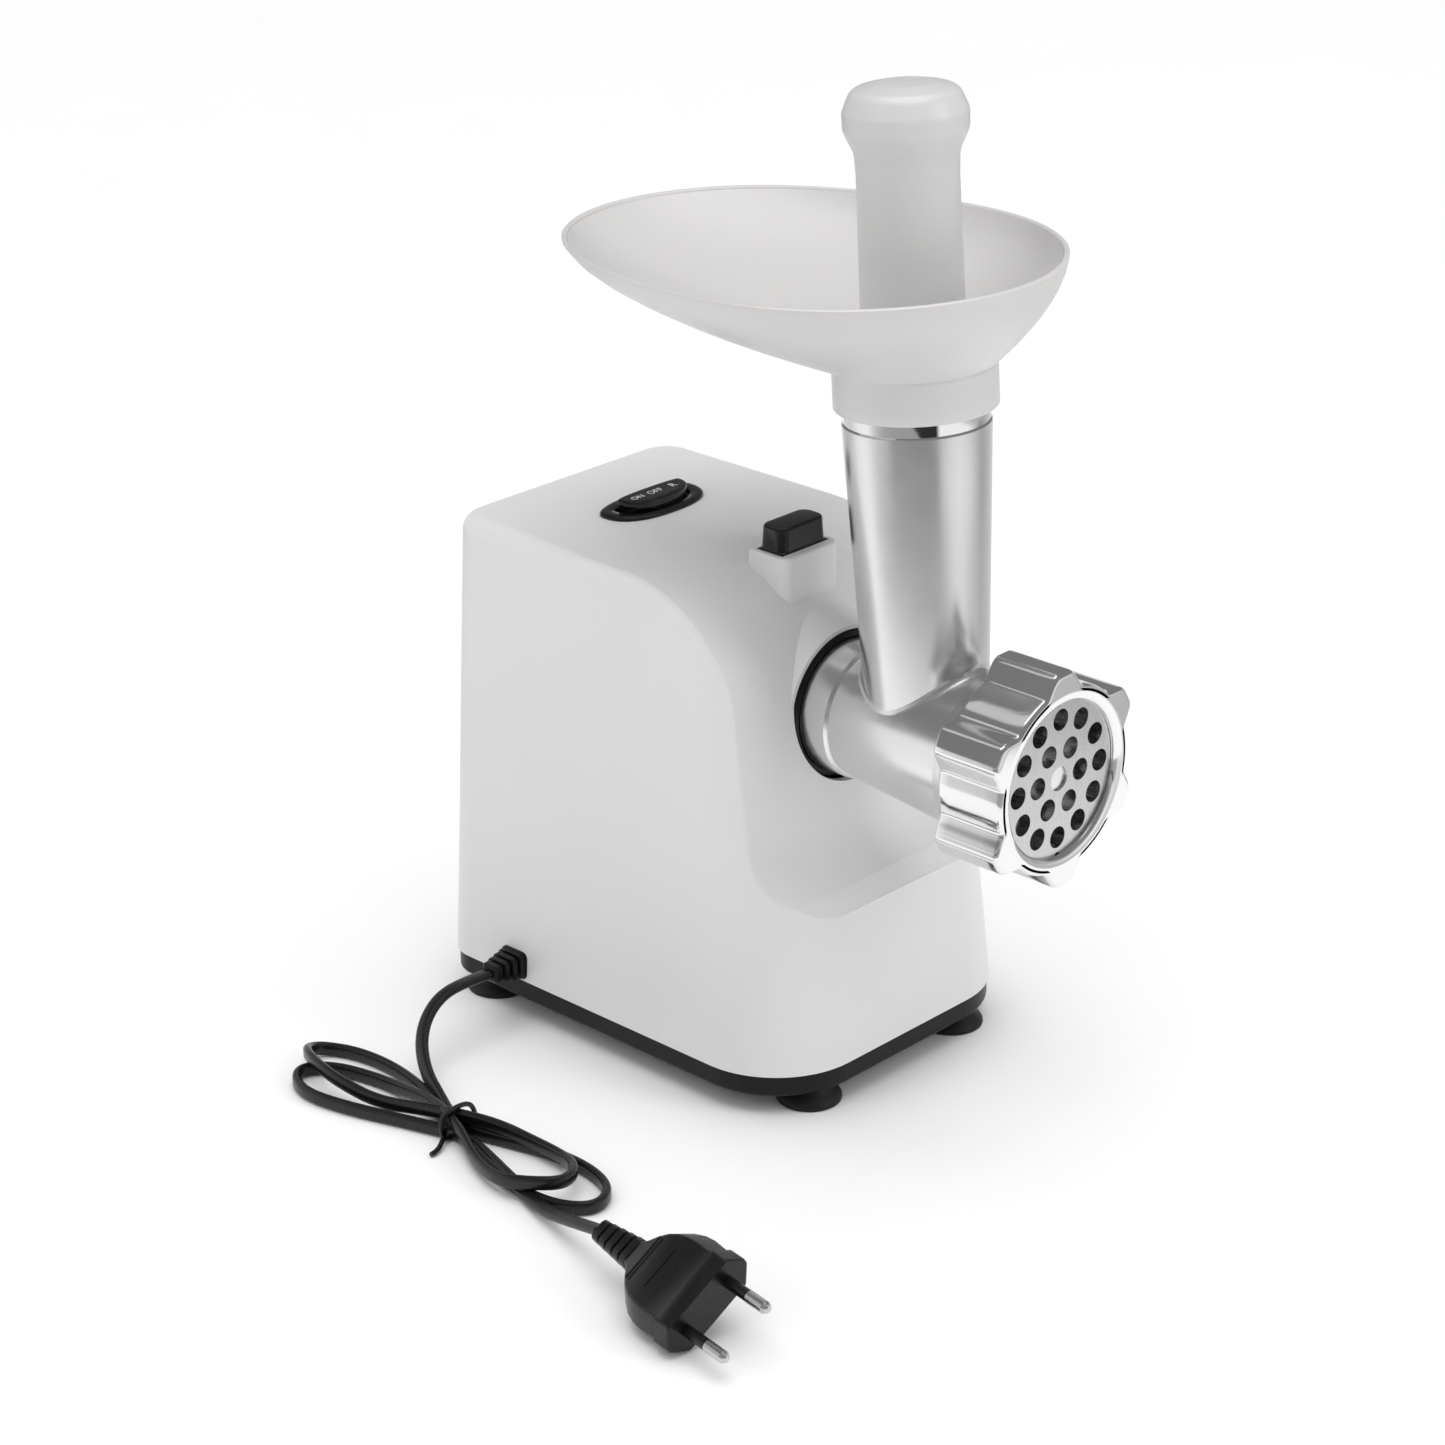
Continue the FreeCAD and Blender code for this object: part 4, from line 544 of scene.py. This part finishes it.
def ring_nut():
    """The clamping nut: lobed outside, round opening in front and coarse thread grooves behind."""
    rings = [nut_ring(NUT_BACK, inner=29.0)]
    for step in range(5):
        angle = math.radians(22.5 * step)
        rings.append(nut_ring(NUT_BACK - 1.2 * (1 - math.cos(angle)), 1.2 * (1 - math.sin(angle))))
    rings += [nut_ring(y) for y in (-91, -98, -105)]
    for step in range(7):
        angle = math.radians(15 * step)
        rings.append(nut_ring(NUT_FRONT + 1.9 * (1 - math.sin(angle)), 1.9 * (1 - math.cos(angle))))
    rings.append([tuple(Vector(p).lerp(Vector(q), 0.12)) for p, q in
                  zip(nut_ring(NUT_FRONT, 1.9), nut_ring(NUT_FRONT, inner=NUT_LIP))])
    rings += [nut_ring(NUT_FRONT, inner=30.0), nut_ring(NUT_FRONT, inner=28.6)]
    rings += [nut_ring(NUT_FRONT + 0.25, inner=NUT_LIP), nut_ring(NUT_FRONT + 0.9, inner=26.2),
              nut_ring(NUT_FRONT + 1.6, inner=NUT_OPENING)]
    rings += [nut_ring(-109.65, inner=NUT_OPENING), nut_ring(-109.62, inner=29.0)]
    threads = []
    for turn in range(9):
        y = -108.2 + 2.3 * turn
        threads += [nut_ring(y, inner=29.0), nut_ring(y + 0.9, inner=29.4), nut_ring(y + 1.6, inner=29.0)]
    rings += threads
    verts, faces = loft(rings)
    return add_mesh("nut_body", verts, faces, "polished_aluminium", "nut", ["ring_nut"], sharp=35)


ring_nut()


# ---- switch ------------------------------------------------------------------------------------

SWITCH_Y, HOUSING_TOP = 68.1, 172.5


def boat(half_length, near, far, inward=0.0, count=72, fullness=2.4):
    """Outline of a D-shaped plate with soft ends; near bulges to the front, far to the rear."""
    points = []
    for step in range(count):
        angle = TAU * step / count
        bulge = (far if math.sin(angle) > 0 else near) - inward
        along, across = math.cos(angle), math.sin(angle)
        points.append((
            (half_length - inward) * math.copysign(abs(along) ** (2 / fullness), along),
            SWITCH_Y + bulge * math.copysign(abs(across) ** (2 / fullness), across),
        ))
    return points


def boat_stack(levels):
    """Rings of boat outlines; a level's height may also be a function of x."""
    return [[(x, y, z(x) if callable(z) else z) for x, y in boat(length, near, far, inward)]
            for length, near, far, z, inward in levels]


top = HOUSING_TOP
RIM, MOUTH, KEY, STEM = (21.2, 12.4, 8.4), (16.1, 9.3, 2.9), (14.8, 8.5, 2.1), (14.0, 5.0, 2.0)
HINGE_Z, TILT = HOUSING_TOP - 2.5, math.radians(12)


def rocker_underside(x):
    """Height of the rocker's underside, which just clears the housing when the rocker is fully tilted."""
    return max(HOUSING_TOP + 0.3,
               HINGE_Z + (HOUSING_TOP + 0.15 - HINGE_Z + abs(x) * math.sin(TILT)) / math.cos(TILT))


bezel = [(*MOUTH, top - 0.2, 0), (*RIM, top - 0.2, 0), (*RIM, top + 0.6, 0), (*RIM, top + 1.0, 0.25),
         (*RIM, top + 1.35, 0.8), (*RIM, top + 1.5, 1.6), (*MOUTH, top + 1.5, -0.7), (*MOUTH, top + 1.2, -0.1),
         (*MOUTH, top + 0.8, 0)]
add_mesh("bezel", *loft(boat_stack(bezel)), "gloss_black", "housing", ["switch_bezel"], sharp=40)
rocker = [(*STEM, top - 1, 0), (*STEM, rocker_underside, 0), (*KEY, rocker_underside, 0), (*KEY, top + 4.2, 0),
          (*KEY, top + 4.6, 0.12), (*KEY, top + 4.85, 0.4), (*KEY, top + 4.95, 0.9), (*KEY, top + 4.85, 2.4)]
hinge = lathe([(0.01, 0), (1.4, 0), (1.4, 14.2), (0.01, 14.2)],
              Matrix.Translation((0, SWITCH_Y - 7.6, HINGE_Z)) @ Matrix.Rotation(math.radians(-90), 4, "X"), 24,
              closed=False)
web = box_mesh((-1.4, SWITCH_Y - 4, HINGE_Z), (1.4, SWITCH_Y + 4, top - 0.5))
add_mesh("rocker", *merged([loft(boat_stack(rocker), closed=False), hinge, web]), "gloss_black", "rocker",
         ["switch_rocker"], sharp=35)


def sign(name, body, x, size, place):
    """Small raised white lettering on a surface."""
    curve = bpy.data.curves.new("mark_" + name, "FONT")
    curve.body = body
    curve.size = size * MM
    curve.align_x = curve.align_y = "CENTER"
    curve.extrude = 0.00004
    curve.materials.append(MARK)
    piece = bpy.data.objects.new("mark_" + name, curve)
    bpy.context.scene.collection.objects.link(piece)
    piece.matrix_world = place @ Matrix.Translation((x * MM, 0, 0))
    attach(piece, "rocker")
    return piece


MARK = material("white_ink", (0.7, 0.7, 0.7), 0.5, vary=0.05)
face = Matrix.Translation((0, (SWITCH_Y - 2.9) * MM, (top + 4.9) * MM))
for index, (word, x, size) in enumerate((("ON", -8.4, 3.4), ("OFF", -0.2, 3.8), ("R", 8.2, 4.2))):
    sign(str(index), word, x, size, face)


# ---- release button ----------------------------------------------------------------------------


def pad_ring(half_x, y_low, y_high, radius, z, steps=8):
    """A rounded rectangle at one height."""
    ring = []
    for sx, sy, first in ((1, 1, 0), (-1, 1, 90), (-1, -1, 180), (1, -1, 270)):
        x, y = sx * (half_x - radius), (y_high - radius if sy > 0 else y_low + radius)
        for step in range(steps + 1):
            angle = math.radians(first + 90 * step / steps)
            ring.append((x + radius * math.cos(angle), y + radius * math.sin(angle), z))
    return ring


def release_button():
    """A tall cap with round corners, a thin skirt where it enters the boss and a softened rim."""
    levels = [
        (11.2, -3.0, 8.4, 1.4, 163.0), (11.2, -3.0, 8.4, 1.4, 174.6), (11.0, -2.8, 8.2, 2.8, 174.9),
        (10.9, -2.7, 8.1, 3.4, 175.4), (10.7, -2.5, 7.9, 3.6, 182.1), (10.6, -2.4, 7.8, 3.6, 182.5),
        (10.4, -2.2, 7.6, 3.5, 182.8), (10.1, -1.9, 7.3, 3.3, 183.0), (9.6, -1.4, 6.8, 2.9, 183.1),
    ]
    verts, faces = loft([pad_ring(*level) for level in levels], closed=False)
    return add_mesh("button_cap", verts, faces, "gloss_black", "button", ["lock_button"], sharp=40)


release_button()


# ---- feet --------------------------------------------------------------------------------------


def foot(node):
    """A round rubber foot with a hole for its screw."""
    low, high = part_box(node)
    x, y = (low.x + high.x) / 2 / MM, (low.y + high.y) / 2 / MM
    profile = rounded_profile([
        (0.01, 1.4), (8.0, 0.2), (8.7, 0.0), (10.4, 0.0), (10.8, 0.25), (11.0, 0.7), (10.9, 1.5), (10.2, 2.7),
        (9.1, 3.8), (8.3, 4.8), (7.7, 5.8), (7.5, 6.4), (7.5, 7.0), (2.4, 7.0), (2.4, 3.4), (0.01, 3.4),
    ], 3)
    verts, faces = lathe(profile, Matrix.Translation((x, y, 0)), 72, closed=False)
    add_mesh(node.replace("foot", "pad"), verts, faces, "rubber_black", "housing", [node], sharp=40)


for node in ("foot_front_left", "foot_front_right", "foot_rear_left", "foot_rear_right"):
    foot(node)


# ---- studio ------------------------------------------------------------------------------------

floor_mesh = bpy.data.meshes.new("floor")
floor_mesh.from_pydata([(-6, -6, 0), (6, -6, 0), (6, 6, 0), (-6, 6, 0)], [], [(0, 1, 2, 3)])
floor = bpy.data.objects.new("floor", floor_mesh)
bpy.context.scene.collection.objects.link(floor)
floor_mesh.materials.append(material("floor_paper", (0.95, 0.95, 0.95), 0.8, vary=0.004, spot=2.0, bump=0.02))

# Brightness of the studio by bearing, in degrees clockwise from the direction of the camera: soft walls
# and a narrow belt of strong contrast half-way up.
SOFT_WALLS = [(-180, 0.95), (-140, 0.6), (-110, 0.45), (-89, 0.55), (-66, 0.8), (-52, 0.74), (-38, 0.46),
              (-20, 0.38), (3, 0.36), (40, 0.38), (54, 0.42), (70, 0.62), (86, 1.0), (106, 0.95), (132, 0.65),
              (158, 0.8), (180, 0.95)]
BELT = [(-180, 1.0), (-110, 0.3), (-84, 1.0), (-36, 1.0), (-30, 0.03), (40, 0.03), (46, 0.9), (108, 0.9),
        (116, 0.05), (150, 0.05), (156, 1.0), (180, 1.0)]


def reflected_walls():
    """A studio of grey and white walls under a dark ceiling with a lamp, that only shiny surfaces see."""
    made = bpy.data.materials.new("studio_walls")
    made.use_nodes = True
    tree = made.node_tree
    add, link = tree.nodes.new, tree.links.new
    tree.nodes.remove(tree.nodes["Principled BSDF"])
    where = add("ShaderNodeTexCoord").outputs["Object"]
    parts = add("ShaderNodeSeparateXYZ")
    link(where, parts.inputs["Vector"])

    def spread(value, low, high, first=0.0, last=1.0):
        step = add("ShaderNodeMapRange")
        for name, number in (("From Min", low), ("From Max", high), ("To Min", first), ("To Max", last)):
            step.inputs[name].default_value = number
        link(value, step.inputs["Value"])
        return step.outputs["Result"]

    def mixed(share, first, second):
        blend = add("ShaderNodeMix")
        for socket, value in zip(blend.inputs, (share, None, first, second)):
            if value:
                link(value, socket)
        return blend.outputs["Result"]

    def by_bearing(walls):
        ramp = add("ShaderNodeValToRGB")
        stops = ramp.color_ramp.elements
        for stop, (degrees, value) in zip(stops, (walls[0], walls[-1])):
            stop.color = (value, value, value, 1)
        for degrees, value in walls[1:-1]:
            stops.new((degrees + 180) / 360).color = (value, value, value, 1)
        link(bearing, ramp.inputs["Fac"])
        return ramp.outputs["Color"]

    angle = add("ShaderNodeMath")
    angle.operation = "ARCTAN2"
    link(parts.outputs["Y"], angle.inputs[0])
    link(parts.outputs["X"], angle.inputs[1])
    bearing = spread(angle.outputs["Value"], math.pi, -math.pi)
    flat = add("ShaderNodeVectorMath")
    flat.operation = "MULTIPLY"
    flat.inputs[1].default_value = (1, 1, 0)
    link(where, flat.inputs[0])
    reach = add("ShaderNodeVectorMath")
    reach.operation = "LENGTH"
    link(flat.outputs["Vector"], reach.inputs[0])
    ceiling = spread(reach.outputs["Value"], 0.1, 0.14, 1.6, 0.2)
    height = parts.outputs["Z"]
    soft = by_bearing(SOFT_WALLS)
    belt = mixed(spread(height, 0.098, 0.1), soft, by_bearing(BELT))
    walls = mixed(spread(height, 0.122, 0.124), belt, soft)
    glow = add("ShaderNodeEmission")
    link(mixed(spread(height, 0.19, 0.23), walls, ceiling), glow.inputs["Strength"])
    link(glow.outputs["Emission"], tree.nodes["Material Output"].inputs["Surface"])
    count, radius = 72, 0.36
    ring = [(radius * math.cos(TAU * k / count), radius * math.sin(TAU * k / count)) for k in range(count)]
    mesh = bpy.data.meshes.new("studio_walls")
    mesh.from_pydata([(x, y, 0.002) for x, y in ring] + [(x, y, 0.5) for x, y in ring], [],
                     [(k, (k + 1) % count, (k + 1) % count + count, k + count) for k in range(count)]
                     + [tuple(range(count, 2 * count))])
    mesh.materials.append(made)
    walls = bpy.data.objects.new("studio_walls", mesh)
    bpy.context.scene.collection.objects.link(walls)
    walls.matrix_world = Matrix.Translation((-0.02, -0.05, 0)) @ Matrix.Rotation(math.radians(223.8), 4, "Z")
    walls.visible_camera = walls.visible_diffuse = walls.visible_shadow = walls.visible_transmission = False


reflected_walls()
world = bpy.data.worlds.new("studio")
bpy.context.scene.world = world
world.use_nodes = True
sky = world.node_tree.nodes["Background"]
sky.inputs["Color"].default_value = (0.99, 0.995, 1.0, 1)
sky.inputs["Strength"].default_value = 0.55
bpy.context.scene.view_settings.view_transform = "Standard"
sun_data = bpy.data.lights.new("ceiling", "SUN")
sun_data.energy, sun_data.angle = 1.5, math.radians(60)
sun = bpy.data.objects.new("ceiling", sun_data)
bpy.context.scene.collection.objects.link(sun)


def softbox(name, place, target, size, power, colour=(1, 1, 1)):
    data = bpy.data.lights.new(name, "AREA")
    data.shape = "RECTANGLE"
    data.size, data.size_y = size
    data.energy = power
    data.color = colour
    lamp = bpy.data.objects.new(name, data)
    bpy.context.scene.collection.objects.link(lamp)
    lamp.location = place
    lamp.rotation_euler = (Vector(target) - Vector(place)).to_track_quat("-Z", "Y").to_euler()
    return lamp


softbox("left", (-1.6, 0.3, 1.0), (0, 0, 0.15), (0.9, 1.3), 3.5)
softbox("right", (0.7, -1.6, 0.9), (0, 0, 0.15), (0.5, 1.2), 6.5)
